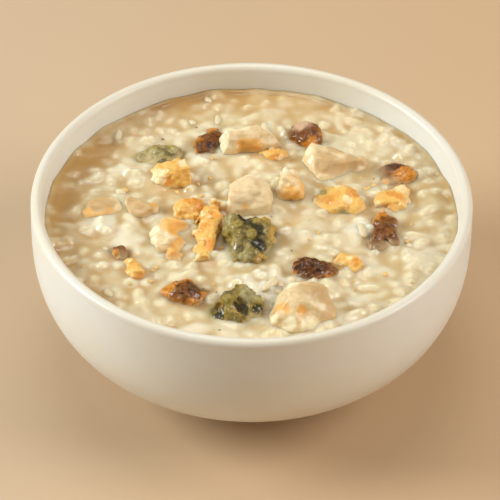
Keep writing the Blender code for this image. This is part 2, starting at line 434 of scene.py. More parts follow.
def makeBowl():
    mesh = turned("bowl_glazed", bowlSection(), bowlLook["around"])
    points = pointsOf(mesh)
    wobble = softNoise(points, bowlLook["wobbleWaves"], 3) * bowlLook["wobble"] * mm
    grip = eased(0, bowlLook["grip"] * mm, points[:, 2])[:, None]      # the foot stays flat
    low, high = [rimHeight - depth * mm for depth in bowlLook["thinBand"]]
    setMask(mesh, "lip", eased(low, high, points[:, 2]))
    setPoints(mesh, points + pointsOf(mesh, "vector", mesh.vertex_normals) * wobble[:, None] * grip)
    return addPiece("bowl_glazed", mesh, glazeFinish(), "glaze", "bowl")


makeBowl()
print("bowl done")

# The congee's level, which swells as its solid does

fillLook = dict(depth=8.6, swell=0.9, swellWaves=34, lump=0.8, lumpWaves=120)
level = rimHeight - fillLook["depth"] * mm


def fillHeight(x, y):
    swell = noise.noise(Vector((x, y, 0)) * fillLook["swellWaves"])
    lumps = noise.noise(Vector((x, y, 1)) * fillLook["lumpWaves"])
    return level + (fillLook["swell"] * swell + fillLook["lump"] * lumps) * mm


# Toppings. Each starts from its solid, is swelled by chunks, skinned evenly and then sculpted.
# In every row x and y run from -1 to 1 across the solid's box, and z is the height over the congee in mm.
# chunks: x y z, then the three radii in mm, each an angular broken lump.
# strokes: x y z, brush radius in mm, push in mm (out is positive).
# warm, pale, dark: places that take the kind's other colours, x y z and radius in mm. Many pale spots are
# painted highlight on lit tops and left edges, and on the meat some warm and dark ones are painted shade.
# core is the solid's share of the piece, grow moves its box's two corners in mm, and bite and rough
# multiply the kind's cuts and its form and grain.

carveLook = dict(
    coarse=1.6, softening=1,              # the first skin's voxels over the last one's, and smoothings
    ragged=0.16, raggedMiddle=0.3,        # how unevenly a chunk's corners reach
    cutRise=0.7, cutLeast=0.4,            # how much the cuts face up, and the shallowest over the deepest
    spotWaves=320, spotRagged=0.35, spotEdge=(0.55, 1.2),
    filmWaves=300, filmRagged=0.9, filmEdge=(0.2, 2.0),
)

def boxPlace(box, spot):
    low, high = box
    x, y = [(low[i] + high[i]) / 2 + (high[i] - low[i]) / 2 * spot[i] for i in (0, 1)]
    return np.array((x, y, level + spot[2] * mm))


def addChunk(bm, place, radii, corners, seed):
    # a convex lump with so many corners
    draw = np.random.default_rng(seed)
    i = np.arange(corners) + 0.5
    tall = 1 - 2 * i / corners
    turn = i * math.pi * (3 - math.sqrt(5)) + draw.random() * 6
    flat = np.sqrt(1 - tall ** 2)
    ball = np.stack((flat * np.cos(turn), flat * np.sin(turn), tall), axis=1)
    ball *= 1 + carveLook["ragged"] * (draw.random((corners, 1)) - carveLook["raggedMiddle"])
    chunk = bmesh.new()
    for corner in ball * np.array(radii) * mm + place:
        chunk.verts.new(corner)
    bmesh.ops.convex_hull(chunk, input=chunk.verts)
    holder = bpy.data.meshes.new("chunk")
    chunk.to_mesh(holder)
    chunk.free()
    bm.from_mesh(holder)
    bpy.data.meshes.remove(holder)


def evenSkin(mesh, voxel, softening):
    # one closed even skin over everything in the mesh, voxel in mm
    piece = bpy.data.objects.new("skin", mesh)
    bpy.context.scene.collection.objects.link(piece)
    skin = piece.modifiers.new("skin", "REMESH")
    skin.mode = "VOXEL"
    skin.voxel_size = voxel * mm
    soften = piece.modifiers.new("soften", "SMOOTH")
    soften.factor = 0.5
    soften.iterations = softening
    bpy.context.view_layer.update()
    even = bpy.data.meshes.new_from_object(piece.evaluated_get(bpy.context.evaluated_depsgraph_get()))
    bpy.data.objects.remove(piece)
    return even


def chopped(points, count, bite, seed):
    # flat faces left by so many cuts, each as deep as a share of the piece
    draw = np.random.default_rng(seed + 500)
    middle, half = (points.max(0) + points.min(0)) / 2, np.ptp(points, axis=0) / 2
    away = (points - middle) / half
    for _ in range(count):
        way = draw.normal(size=3) * np.array((1, 1, carveLook["cutRise"]))
        way[2] = abs(way[2])
        way /= np.linalg.norm(way)
        reach = away @ way
        deep = carveLook["cutLeast"] + (1 - carveLook["cutLeast"]) * draw.random()
        cut = reach.max() * (1 - bite * deep)
        away = away - np.maximum(reach - cut, 0)[:, None] * way
    return middle + away * half


def spotMask(points, box, spots, seed):
    # 1 inside the spots, with a ragged edge
    mask = np.zeros(len(points))
    ragged = layeredNoise(points, carveLook["spotWaves"], 3, seed) * carveLook["spotRagged"]
    for *spot, radius in spots:
        reach = np.linalg.norm(points - boxPlace(box, spot), axis=1) / (radius * mm)
        mask = np.maximum(mask, 1 - eased(*carveLook["spotEdge"], reach + ragged))
    return mask


def sculpt(name, look, seed, core=0.95, chunks=(), strokes=(), warm=(), pale=(), dark=(), rough=1.0,
           bite=1.0, grow=((-0.4, -0.9, 0), (0.4, 0.4, 0.4))):
    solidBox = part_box(name)
    box = [Vector(corner) + Vector(more) * mm for corner, more in zip(solidBox, grow)]
    middle = (box[0] + box[1]) / 2
    bm = bmesh.new()
    bm.from_mesh(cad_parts[name].data)
    bmesh.ops.remove_doubles(bm, verts=bm.verts, dist=1e-6)
    stretch = [(box[1][i] - box[0][i]) / (solidBox[1][i] - solidBox[0][i]) * core for i in range(3)]
    centre = (solidBox[0] + solidBox[1]) / 2
    for vert in bm.verts:
        vert.co = middle + Vector([(vert.co[i] - centre[i]) * stretch[i] for i in range(3)])
    for count, (*spot, a, b, c) in enumerate(chunks):
        addChunk(bm, boxPlace(box, spot), (a, b, c), look["corners"], seed * 20 + count)
    blocked = bpy.data.meshes.new(name)
    bm.to_mesh(blocked)
    bm.free()
    mesh = evenSkin(blocked, look["voxel"] * carveLook["coarse"], carveLook["softening"])
    setPoints(mesh, chopped(pointsOf(mesh), look["cuts"], look["bite"] * bite, seed))
    points = pointsOf(mesh)
    push = look["form"](points, seed) * rough
    for *spot, radius, amount in strokes:
        reach = np.linalg.norm(points - boxPlace(box, spot), axis=1) / (radius * mm)
        push += (1 - eased(0, 1, reach)) * amount
    setPoints(mesh, points + pointsOf(mesh, "vector", mesh.vertex_normals) * push[:, None] * mm)
    mesh = evenSkin(mesh, look["voxel"], 1)
    points = pointsOf(mesh)
    grain = look["grain"](points, seed) * rough
    points += pointsOf(mesh, "vector", mesh.vertex_normals) * grain[:, None] * mm
    low, high = points.min(0), points.max(0)                   # back into the piece's own box
    boxLow, boxHigh = np.array(box[0]), np.array(box[1])
    points = boxLow + (points - low) / (high - low) * (boxHigh - boxLow)
    setPoints(mesh, points)
    # in the finishes these creases take painted shade and the convex tips painted highlight
    setMask(mesh, "hollow", hollows(mesh, points) / (look["voxel"] * mm))
    for place, (word, spots) in enumerate((("warm", warm), ("pale", pale), ("dark", dark))):
        setMask(mesh, word, spotMask(points, box, spots, seed + 0.3 * place))
    ragged = carveLook["filmRagged"] * layeredNoise(points, carveLook["filmWaves"], 2, seed + 8)
    setMask(mesh, "film", 1 - eased(*carveLook["filmEdge"], (points[:, 2] - level) / mm + ragged))
    return addPiece(name + "_sculpted", mesh, look["material"], look["slot"], name)


gelFilm = paint(222, 200, 154)            # the thin congee that creeps up every piece

# Preserved egg white: glossy, wrinkled, grainy, dark brown to amber

jellyLook = dict(
    slot="jelly", voxel=0.28, corners=9, cuts=7, bite=0.3,
    dark=paint(62, 32, 12), brown=paint(136, 82, 32), amber=paint(214, 140, 44),
    # the colour below is painted highlight, laid on the pale spots at the tops
    film=paint(224, 186, 150),
    pieces={
        "jelly_1": dict(core=0.93, grow=((-0.5, -2.2, 0), (1.2, 0.4, 0.6)),
            chunks=[(0.3, 0.55, 1, 2.2, 3, 2), (-0.35, -0.5, 0.8, 3, 2.6, 1.9)],
            warm=[(-0.6, -0.2, 1.6, 2), (0.1, 0.8, 1.6, 2.4), (-0.8, -0.7, 0.6, 1.6)],
            dark=[(0.5, -0.6, 1, 3)]),
        "jelly_2": dict(core=0.93, grow=((-0.9, -2.6, 0), (1, 0.6, 0.8)),
            chunks=[(-0.4, 0.1, 2, 2.6, 2.6, 2.4), (0.45, 0, 1.6, 2.4, 2.6, 2.6)],
            warm=[(0.2, -0.7, 1.4, 3), (0.9, 0.2, 2.4, 2.6), (-0.7, -0.6, 0.4, 2.4)],
            pale=[(-0.2, 0.5, 4.4, 3.2)]),
        "jelly_3": dict(core=0.95, grow=((-0.5, -1.8, 0), (0.5, 1.2, 0.6)),
            chunks=[(-0.3, 0.2, 1, 3.4, 2.6, 1.8), (0.5, -0.1, 0.6, 3.2, 3, 1.8)],
            warm=[(0.4, -0.3, 1.4, 4.2), (-0.7, -0.8, 0.2, 2.6)],
            dark=[(-0.2, 0.6, 2.2, 3.2), (0.3, 0.8, 1.8, 2.2)]),
        "jelly_4": dict(core=0.74, grow=((-0.4, -1.8, 0), (0.6, 3, 1)),
            chunks=[(-0.1, 0.7, 0.8, 2, 2.4, 1.6), (0.45, 0.2, 1, 2.1, 2.6, 2),
                (0.6, -0.4, 1, 2, 2.8, 2), (-0.2, -0.75, 0.6, 2.8, 1.7, 1.7)],
            strokes=[(-0.8, -0.1, 0.6, 3.6, -1.8)], warm=[(-0.2, 0.8, 1.4, 3), (-0.4, 0.4, 1, 2)],
            pale=[(-0.2, 0.9, 2, 1.5)]),
        "jelly_5": dict(core=0.92, bite=0.7, rough=1.4,
            chunks=[(-0.45, 0.15, 1.2, 3.6, 4, 2), (0.1, -0.1, 1.4, 4.2, 3.4, 2),
                (0.62, -0.45, 0.7, 3.2, 2.2, 1.6), (-0.85, 0.75, 1, 1.2, 1.6, 1.6)],
            strokes=[(0, 0.4, 3, 2.6, -0.9), (-0.3, -0.6, 2.6, 2, 0.9), (0.4, 0.2, 3, 2, 0.7)],
            warm=[(-0.9, 0.8, 1.6, 2), (0.5, -0.9, 0.4, 3), (0.95, -0.6, 0.6, 2.6),
                (-0.95, -0.3, 0.4, 1.8)],
            dark=[(-0.2, 0.1, 2.4, 5)]),
        "jelly_6": dict(core=0.93, rough=1.15,
            chunks=[(-0.7, 0.2, 1.4, 2.6, 3.6, 2.4), (0.1, 0, 1.6, 4.2, 3.4, 2.6),
                (0.6, -0.1, 1, 3.2, 3.2, 2.2)],
            strokes=[(-0.4, -0.8, 1.6, 2.2, -1.4)],
            warm=[(-0.85, 0.2, 2, 4.4), (-0.5, -0.9, 0.6, 3.2), (0.9, -0.2, 1, 3.4),
                (0, 1, 1.6, 2.8), (0.3, -0.9, 0.8, 2.8)],
            dark=[(0.25, 0.1, 3, 2.8)]),
        "jelly_7": dict(grow=((-0.6, -1, 0), (0.6, 0.8, 0.8)), warm=[(-0.4, -0.4, 0.8, 1.8)]),
    },
)


def jellyForm(points, seed):
    nearest, second, own = cellNoise(points, 300, seed)
    fold = 1 - 2.2 * np.abs(layeredNoise(points, 230, 2, seed + 4))
    return 0.9 * (own - 0.5) * eased(0, 0.3, second - nearest) + 0.3 * np.clip(fold, -1, 1)


def jellyGrain(points, seed):
    nearest = cellNoise(points, 900, seed)[0]
    wrinkle = 1 - 3 * np.abs(layeredNoise(points, 480, 2, seed + 9))
    return 0.26 * (0.5 - nearest) + 0.16 * np.clip(wrinkle, -1, 1)


def jellyFinish():
    look = jellyLook
    finish = Finish("egg_jelly", Subsurface_Weight=0.25, Subsurface_Radius=(1.0, 0.4, 0.12),
                    Subsurface_Scale=0.0008, Coat_Roughness=0.1, IOR=1.36)
    hollow = finish.mask("hollow")
    veins = finish.speckle(420, 4, 0.7)
    grains = finish.cells(1500)
    # the hollow term makes the creases darker, painted shade
    shade = veins * 1.3 - 0.35 + grains * 0.25 - finish.mask("dark") * 0.3 - hollow * 0.35
    colour = finish.mix(shade.between(0.1, 0.6), look["dark"], look["brown"])
    edges = (finish.speckle(420, 4, 0.75) - 0.5) * 1.8
    amber = (finish.mask("warm") * 1.1 + edges - finish.mask("dark") * 0.3).between(0.2, 1.1)
    colour = finish.mix(amber, colour, look["amber"])
    crinkles = 1 - abs(finish.speckle(560, 3, 0.6) - 0.5).between(0.0, 0.06)
    colour = finish.mix(crinkles * 0.6, colour, look["brown"])
    # painted highlight on the pale spots
    colour = finish.mix(finish.mask("pale") * 0.8, colour, look["film"])
    # amber on the convex tips, painted highlight
    colour = finish.mix((0 - hollow).between(0.05, 0.5) * 0.4, colour, look["amber"])
    colour = finish.mix(finish.mask("film") * 0.45, colour, gelFilm)
    return finish.finished(
        Base_Color=colour,
        Roughness=0.26 + veins * 0.25,
        Coat_Weight=finish.speckle(330, 2).between(0.45, 0.64) * 0.9,
        Normal=finish.bump(finish.speckle(1500, 3, 0.6), 0.4, 0.0003),
    )


# Preserved yolk: crumbly, grey-green and olive, nearly black in its clefts, partly with painted shade

yolkLook = dict(
    slot="yolk", voxel=0.30, corners=10, cuts=8, bite=0.3,
    green=paint(166, 142, 68), dark=paint(46, 40, 14), gold=paint(202, 156, 70),
    ash=paint(180, 166, 112), speck=paint(224, 208, 146),
    pieces={
        "yolk_1": dict(grow=((-1.5, -2.5, 0), (1, 0.6, 1.2)),
            pale=[(-0.2, -0.2, 1.2, 3.6), (0.5, 0.2, 1.2, 2.4)], dark=[(0.1, -0.8, 1.2, 1.6)]),
        "yolk_2": dict(core=0.88, rough=1.1,
            chunks=[(-0.72, 0.45, 3, 1.9, 4.4, 3), (-0.35, -0.15, 2.4, 3.6, 3.6, 3.2),
                (0.5, 0, 1.6, 4.4, 3.6, 2.6), (0.7, 0.1, 1, 2.6, 2.2, 1.8),
                (-0.65, -0.72, 1.8, 2.9, 2.7, 2.2), (0.15, -0.6, 1, 4.2, 3.4, 2.4),
                (0.3, 0.75, 2, 2.8, 2.2, 2.2)],
            strokes=[(-0.25, 0.7, 4.2, 4, -3), (-0.1, 0.3, 4, 3.6, -2.6),
                (0.12, 0, 3.6, 3.2, -2), (0.25, -0.4, 3.2, 2.6, -1.4), (-0.8, 0.5, 5, 2.6, 1.4)],
            warm=[(0.85, 0.2, 1.6, 3.4), (0.35, -0.85, 0.6, 3), (0.5, 0.8, 2.6, 2.4)],
            pale=[(-0.8, 0.45, 4.6, 3), (-0.8, -0.75, 3.2, 3), (-0.2, -0.8, 2, 2.6)],
            dark=[(-0.25, 0.7, 3.6, 4), (-0.1, 0.3, 3, 4), (0.12, 0, 3, 3.8),
                (0.25, -0.4, 2.6, 3), (0.98, 0.2, 1, 1.8)]),
        "yolk_3": dict(core=0.9, rough=1,
            chunks=[(0.3, 0.35, 3.2, 3.6, 3.6, 3.6), (-0.3, 0.3, 2.4, 3.4, 3, 3.2),
                (0.7, 0.1, 1.8, 2.4, 3.2, 2.6), (-0.55, -0.3, 1.6, 2.8, 3, 2.4),
                (0.1, -0.6, 1.2, 4, 2.6, 2.2)],
            strokes=[(-0.5, -0.1, 3.4, 2.6, -2.4), (0.1, -0.2, 4.4, 2.8, -2.4), (0.3, 0.5, 6, 2.4, 1.6),
                (0.6, -0.3, 3.4, 2, -1.8), (-0.2, 0.5, 5, 2, -1.6)],
            warm=[(-0.5, 0, 2.4, 2.8), (0.1, -0.4, 2.6, 2.8), (0.5, -0.8, 0.8, 2.4)],
            pale=[(0.5, 0.4, 4.4, 3.4), (-0.4, 0.5, 4.6, 2.6), (-0.85, 0.1, 2.4, 1.8)],
            dark=[(-0.2, -0.3, 2.6, 2.6), (0.2, -0.35, 2.6, 2.2), (-0.6, -0.55, 1.2, 1.6),
                (0.75, -0.2, 2, 1.5), (-0.2, 0.4, 4, 2)]),
    },
)


def yolkForm(points, seed):
    nearest, second, own = cellNoise(points, 270, seed)
    plates = 1.3 * (own - 0.5) * eased(0, 0.3, second - nearest)
    clefts = 1 - eased(0, 0.15, second - nearest)
    return plates + 0.5 * layeredNoise(points, 240, 2, seed) - 0.5 * clefts


def yolkGrain(points, seed):
    nearest = cellNoise(points, 850, seed)[0]
    return 0.36 * (0.5 - nearest) + 0.2 * layeredNoise(points, 700, 2, seed)


def yolkFinish():
    look = yolkLook
    finish = Finish("preserved_yolk", Subsurface_Weight=0.25, Subsurface_Radius=(0.9, 0.8, 0.4),
                    Subsurface_Scale=0.0014, Coat_Roughness=0.1, IOR=1.38)
    hollow = finish.mask("hollow")
    patches = finish.speckle(240, 3, 0.6)
    colour = finish.mix((1 - patches.between(0.34, 0.56)) * 0.75, look["green"], look["dark"])
    edges = (finish.speckle(420, 4, 0.7) - 0.5) * 1.4
    colour = finish.mix((finish.mask("warm") + edges).between(0.2, 1.1) * 0.85, colour, look["gold"])
    colour = finish.mix((finish.mask("pale") + edges).between(0.1, 1.0) * 0.85, colour, look["ash"])
    crumbs = finish.speckle(900, 3, 0.65)
    colour = finish.mix((1 - crumbs.between(0.3, 0.6)) * 0.4, colour, look["dark"])
    colour = finish.mix((finish.mask("dark") + edges * 0.8).between(0.1, 0.8) * 0.93, colour, look["dark"])
    specks = (1 - finish.cells(1000).between(0.12, 0.34)) * finish.speckle(380, 2).between(0.46, 0.6)
    colour = finish.mix(specks * 0.65, colour, look["speck"])
    # lighter on the convex tips, painted highlight, and darker in the creases, painted shade
    colour = finish.mix((0 - hollow).between(0.1, 0.6) * 0.35, colour, look["speck"])
    colour = finish.mix(hollow.between(0.05, 0.45) * 0.6, colour, look["dark"])
    colour = finish.mix(finish.mask("film") * 0.45, colour, gelFilm)
    return finish.finished(
        Base_Color=colour,
        Roughness=0.34 + patches * 0.25,
        Coat_Weight=finish.speckle(300, 1).between(0.45, 0.62) * 0.8,
        Normal=finish.bump(crumbs + finish.speckle(2200, 2), 0.5, 0.0003),
    )


# Salted yolk: ragged crumbly flakes, yellow-orange with pale lit tips

saltedLook = dict(
    slot="salted_egg", voxel=0.29, corners=9, cuts=7, bite=0.3,
    yellow=paint(240, 192, 104), orange=paint(226, 146, 52), pale=paint(250, 228, 176),
    deep=paint(204, 130, 56), moss=paint(138, 122, 40),
    pieces={
        "salted_1": dict(core=0.97, grow=((-0.6, -1, 0), (0.6, 0.6, 0.4)), warm=[(0.2, -0.4, 0.8, 2.4)],
            pale=[(-0.2, 0.7, 1.6, 1.6)]),
        "salted_2": dict(core=0.92,
            chunks=[(-0.6, -0.1, 1.4, 3, 3.2, 2.6), (0, -0.25, 1.6, 3.4, 2.8, 2.8),
                (0.65, 0.25, 2.8, 2.2, 2.8, 3.2), (0.55, -0.5, 1.4, 2.4, 2, 2.2)],
            strokes=[(0, 0.5, 4, 2.4, -1.2)], warm=[(0, -0.5, 1.6, 2.6), (-0.4, 0.3, 3, 1.6)],
            pale=[(-0.9, 0, 1.8, 2.8), (-0.4, -0.4, 2.8, 2.6), (0.7, 0.2, 5.4, 2.4)]),
        "salted_3": dict(core=0.92,
            chunks=[(0.5, 0.5, 2.4, 2.4, 2.2, 2.2), (-0.3, 0, 1.6, 3.2, 2.4, 2.2),
                (0.3, -0.4, 1, 2.4, 2, 1.8)],
            warm=[(0.2, 0.4, 3.4, 3.6), (0.5, -0.2, 1.6, 3), (-0.4, 0.1, 2.4, 2.2)],
            pale=[(-0.8, -0.3, 1.6, 1.6)]),
        "salted_4": dict(core=0.82, rough=1.15,
            chunks=[(0.3, 0.78, 3.4, 1.9, 2.4, 2.8), (0, 0.5, 2.6, 3, 2.8, 2.8),
                (-0.1, 0.1, 1.8, 3.2, 3, 2.4), (-0.2, -0.3, 1.4, 3, 3, 2.2),
                (-0.35, -0.7, 1.2, 2.4, 2.6, 2), (-0.8, 0.45, 1.8, 1.3, 1.5, 1.5),
                (-0.85, 0, 1.4, 1.2, 1.4, 1.4), (-0.9, -0.45, 1.2, 1.1, 1.5, 1.4),
                (-0.8, -0.85, 0.9, 1.3, 1.3, 1.2)],
            warm=[(0.3, 0.35, 3.2, 2), (-0.2, 0, 2.8, 2), (0.3, -0.5, 1.8, 2.2)],
            pale=[(-0.85, 0.5, 2.6, 1.5), (-0.9, 0, 2, 1.5), (-0.9, -0.45, 1.8, 1.5),
                (-0.8, -0.9, 1.4, 1.6), (0.3, 0.85, 5.6, 1.8), (0.1, 0.3, 4.4, 1.4)]),
        "salted_5": dict(core=0.97, warm=[(0, -0.4, 1, 1.8)]),
        "salted_6": dict(core=0.95,
            chunks=[(-0.3, 0.4, 1, 1.8, 2.2, 1.7), (0.3, -0.4, 1, 1.8, 2, 1.7)],
            warm=[(0.5, -0.6, 1, 1.8)], pale=[(-0.5, 0.3, 2.2, 1.4)]),
        "salted_7": dict(core=0.93, rough=1.2, grow=((-1.2, -1.6, 0), (0.4, 1.4, 0.4)),
            chunks=[(-0.6, 0, 0.8, 2.8, 3.2, 1.8), (0.1, 0.3, 1, 3.6, 3.2, 2),
                (0.5, -0.1, 1, 3, 2.8, 2), (0, -0.5, 0.8, 3, 2.4, 1.8)],
            warm=[(-0.4, -0.1, 2, 2.6), (0.5, 0.3, 2.2, 2.6)],
            pale=[(-0.95, 0, 1.2, 1.5), (0.3, -0.2, 2.8, 1.7), (0, 0.7, 2.4, 1.6)],
            dark=[(-0.55, 0.45, 2, 1.6), (0.15, -0.85, 1.2, 2)]),
        "salted_8": dict(core=0.93, grow=((-0.8, -2, 0), (0.4, 1.2, 0.6)),
            chunks=[(0.2, 0.3, 1.2, 3.4, 2.8, 2), (-0.4, -0.3, 0.8, 2.8, 2.6, 1.8)],
            warm=[(-0.2, 0, 2, 2.4), (0.3, -0.2, 2, 1.8)],
            pale=[(0.4, 0.5, 2.8, 2.8), (-0.85, -0.7, 1, 1.8)]),
        "salted_9": dict(core=0.95,
            chunks=[(-0.2, 0.2, 1, 2.8, 1.8, 1.9), (0.5, -0.4, 0.8, 1.8, 1.8, 1.5)],
            warm=[(0.5, -0.3, 1.6, 1.8)], pale=[(0, 0.1, 3, 1.3)]),
    },
)


def saltedForm(points, seed):
    nearest, second, own = cellNoise(points, 420, seed)
    plates = (own - 0.5) * eased(0, 0.3, second - nearest)
    return plates + 0.5 * layeredNoise(points, 260, 3, seed) + 0.4 * (0.45 - nearest)


def saltedGrain(points, seed):
    nearest = cellNoise(points, 1000, seed)[0]
    return 0.34 * (0.5 - nearest) + 0.12 * layeredNoise(points, 900, 2, seed)


def saltedFinish():
    look = saltedLook
    finish = Finish("salted_egg_crumb", Subsurface_Weight=0.4, Subsurface_Radius=(1.0, 0.6, 0.25),
                    Subsurface_Scale=0.0009, Coat_Roughness=0.12, IOR=1.36)
    hollow = finish.mask("hollow")
    patches = finish.speckle(260, 3, 0.6)
    colour = finish.mix(patches.between(0.45, 0.7) * 0.5, look["yellow"], look["orange"])
    edges = finish.speckle(500, 4, 0.65) - 0.5
    colour = finish.mix((finish.mask("warm") + edges).between(0.2, 1.2) * 0.85, colour, look["orange"])
    # the pale spots on tops and left edges are painted highlight where light catches the tips
    colour = finish.mix((finish.mask("pale") + edges).between(0.1, 1.0) * 0.85, colour, look["pale"])
    colour = finish.mix(finish.mask("dark") * 0.9, colour, look["moss"])
    # pale on convex tips, painted highlight, and deeper orange in the creases, painted shade
    colour = finish.mix((0 - hollow).between(0.08, 0.6) * 0.5, colour, look["pale"])
    colour = finish.mix(hollow.between(0.05, 0.5) * 0.55, colour, look["deep"])
    grit = finish.speckle(1500, 3, 0.65)
    colour = finish.mix((1 - grit.between(0.3, 0.5)) * 0.25, colour, look["deep"])
    colour = finish.mix(finish.mask("film") * 0.5, colour, gelFilm)
    return finish.finished(
        Base_Color=colour,
        Roughness=0.36 + patches * 0.2,
        Coat_Weight=finish.speckle(380, 1).between(0.45, 0.65) * 0.7,
        Normal=finish.bump(grit + finish.speckle(2600, 2), 0.3, 0.0003),
    )


# Lean meat: smooth pale lobes and facets, golden to tan where thin; the cream on its lit tops is partly
# painted highlight, and the gold and tan on faces turned from the light and in creases partly painted shade

meatLook = dict(
    slot="meat", voxel=0.34, corners=10, cuts=9, bite=0.36,
    beige=paint(236, 210, 162), gold=paint(243, 178, 78), cream=paint(251, 236, 198),
    tan=paint(198, 158, 104),
    pieces={
        "meat_1": dict(core=0.9,
            chunks=[(-0.62, -0.25, 2.2, 4.2, 3.6, 4), (-0.35, 0.35, 3.6, 4.4, 3, 3.2),
                (0.05, 0.1, 2.4, 5, 4, 3.8), (0.5, 0, 1.4, 5.2, 3.2, 3)],
            strokes=[(-0.3, -0.9, 2, 3, -1.2)],
            warm=[(-0.25, -0.8, 3, 3.4), (-0.4, -0.95, 1, 2.4), (0.05, -0.7, 3, 3)],
            pale=[(-0.75, -0.3, 3.6, 4.8), (-0.35, 0.4, 6, 4.4), (0.2, 0.4, 5, 3.4)],
            dark=[(0.9, -0.3, 0.8, 3.6)]),
        "meat_2": dict(core=0.93, bite=0.9, rough=0.6,
            chunks=[(0.1, 0.4, 3.6, 4.2, 3.6, 3.8), (-0.4, -0.1, 2.2, 4, 4.4, 3.4),
                (0.45, -0.3, 2.2, 4, 4.6, 3.4), (-0.85, -0.5, 1.6, 1.4, 1.8, 1.8)],
            strokes=[(0.25, 0, 6, 2.4, 0.4), (-0.1, -0.2, 5.2, 2.6, -0.3)],
            warm=[(-0.2, -0.7, 2.6, 1.8)], pale=[(0.1, 0.5, 6.8, 3), (-0.9, -0.5, 2.8, 2.2)]),
        "meat_3": dict(core=0.93,
            chunks=[(0, 0.2, 3.2, 3.2, 4, 3.2), (0.2, -0.5, 1.4, 3.6, 3, 2.8),
                (-0.6, -0.3, 1.4, 2, 3, 2.2)],
            warm=[(0.4, -0.3, 3.4, 4.2), (0.2, -0.7, 2.4, 4.2)],
            pale=[(-0.3, 0.4, 5.6, 3.6), (-0.8, -0.2, 3, 2.4)], dark=[(0.3, -0.95, 0.6, 3.4)]),
        "meat_4": dict(core=0.95, bite=0.45,
            chunks=[(-0.7, 0.1, 1.4, 1.7, 5.2, 1.8), (0.1, 0.4, 0.4, 3.4, 3.4, 1.8),
                (0.3, -0.4, 0.2, 3.4, 3.2, 1.8)],
            strokes=[(0.5, 0.1, 1.6, 4.4, -2.6), (1, 0, 1, 3.6, -2.4), (-0.85, 0, 3, 2.2, 0.9),
                (-0.6, 0.8, 3, 2.2, 0.8), (-0.5, -0.8, 2.4, 2, 0.6)],
            warm=[(0.1, 0.5, 1.4, 4.4), (0.2, -0.1, 1.2, 3.8), (0.4, -0.7, 0.8, 3)],
            pale=[(-0.85, 0.1, 2.6, 2.2), (-0.8, -0.5, 1.8, 2), (-0.7, 0.7, 2.4, 1.8)],
            dark=[(0.6, 0.1, 1, 5)]),
        "meat_5": dict(core=0.95, bite=0.9, rough=0.7,
            chunks=[(-0.55, 0, 1.4, 4.2, 4.4, 2.4), (0.1, 0.25, 1.6, 5.6, 4.6, 2.2),
                (0.55, -0.1, 0.8, 4, 4.6, 2), (-0.1, -0.5, 0.8, 4.4, 3.2, 2)],
            strokes=[(-0.3, -0.3, 3.2, 3.4, -1), (0.6, -0.5, 2.4, 3.4, -0.7), (0.4, 0.6, 3.4, 3, 0.6)],
            pale=[(-0.75, 0.2, 3.4, 2.2)],
            dark=[(0.7, -0.4, 1.4, 5.4), (0.8, 0.3, 2, 5), (-0.3, -0.3, 2.4, 4.6),
                (0.2, 0.7, 3.8, 5.6), (0.2, -0.6, 1.8, 4.6)]),
        "meat_6": dict(core=0.92, bite=0.7, rough=0.6,
            chunks=[(-0.1, 0.5, 3.8, 4.6, 3.6, 3), (0.3, 0, 2.6, 6, 4.4, 3.4),
                (-0.6, -0.3, 1.8, 3.8, 4.6, 3.2), (0, -0.6, 1.2, 5.6, 3.2, 2.8),
                (0.7, 0.1, 1, 3.2, 4.6, 2.4), (-0.35, 0.75, 3.4, 2.2, 1.8, 2.4)],
            strokes=[(-0.8, -0.25, 3.4, 2.4, -0.9), (-0.45, -0.3, 4, 2.6, -1.1),
                (-0.1, -0.35, 4, 2.6, -1), (0.25, -0.45, 3.4, 2.4, -0.8), (-0.4, 0.2, 5.2, 3, 0.9),
                (0.15, 0.2, 5.4, 3.2, 1), (0.5, 0.5, 4.4, 3, 0.8)],
            warm=[(-0.75, -0.2, 3.4, 2.4), (-0.45, -0.25, 3.8, 2.8), (-0.15, -0.3, 3.8, 2.2),
                (-0.85, -0.9, 0.6, 2)],
            pale=[(-0.4, 0.8, 6, 2.8), (-0.85, -0.5, 2.4, 2.2), (-0.4, -0.8, 2, 2.6),
                (0.1, -0.85, 1.6, 3), (0.6, -0.9, 1, 2)],
            dark=[(0.3, 0.3, 4.6, 6), (0.8, 0.1, 2, 4.6), (0.65, -0.5, 1.6, 3)]),
        "meat_7": dict(core=0.95,
            chunks=[(-0.2, 0.4, 0.2, 4, 3, 1.6), (0.4, -0.4, 0.2, 3.4, 3, 1.5)],
            warm=[(0.5, -0.6, 0.8, 3.4), (0, -0.9, 0.4, 3.4), (-0.7, -0.7, 0.4, 3)],
            dark=[(-0.3, 0.3, 1, 7)]),
        "meat_8": dict(core=0.95, chunks=[(-0.2, 0, 0.2, 3.6, 3.4, 1.6)], warm=[(0.5, 0.1, 1, 2.6)],
            dark=[(0, 0, 1, 6.4)]),
    },
)


def meatForm(points, seed):
    nearest, second, own = cellNoise(points, 165, seed)
    ridge = 1 - 3 * np.abs(layeredNoise(points * np.array((0.6, 1.2, 1.2)), 150, 2, seed + 6))
    plates = 1.3 * (own - 0.5) * eased(0, 0.25, second - nearest)
    return plates + 0.45 * np.clip(ridge, -1, 1) + 0.35 * layeredNoise(points, 300, 2, seed)


def meatGrain(points, seed):
    along = points * np.array((0.35, 1.0, 1.0))                # fibres run across the piece
    return 0.26 * layeredNoise(along, 700, 2, seed) + 0.22 * layeredNoise(points, 420, 3, seed)


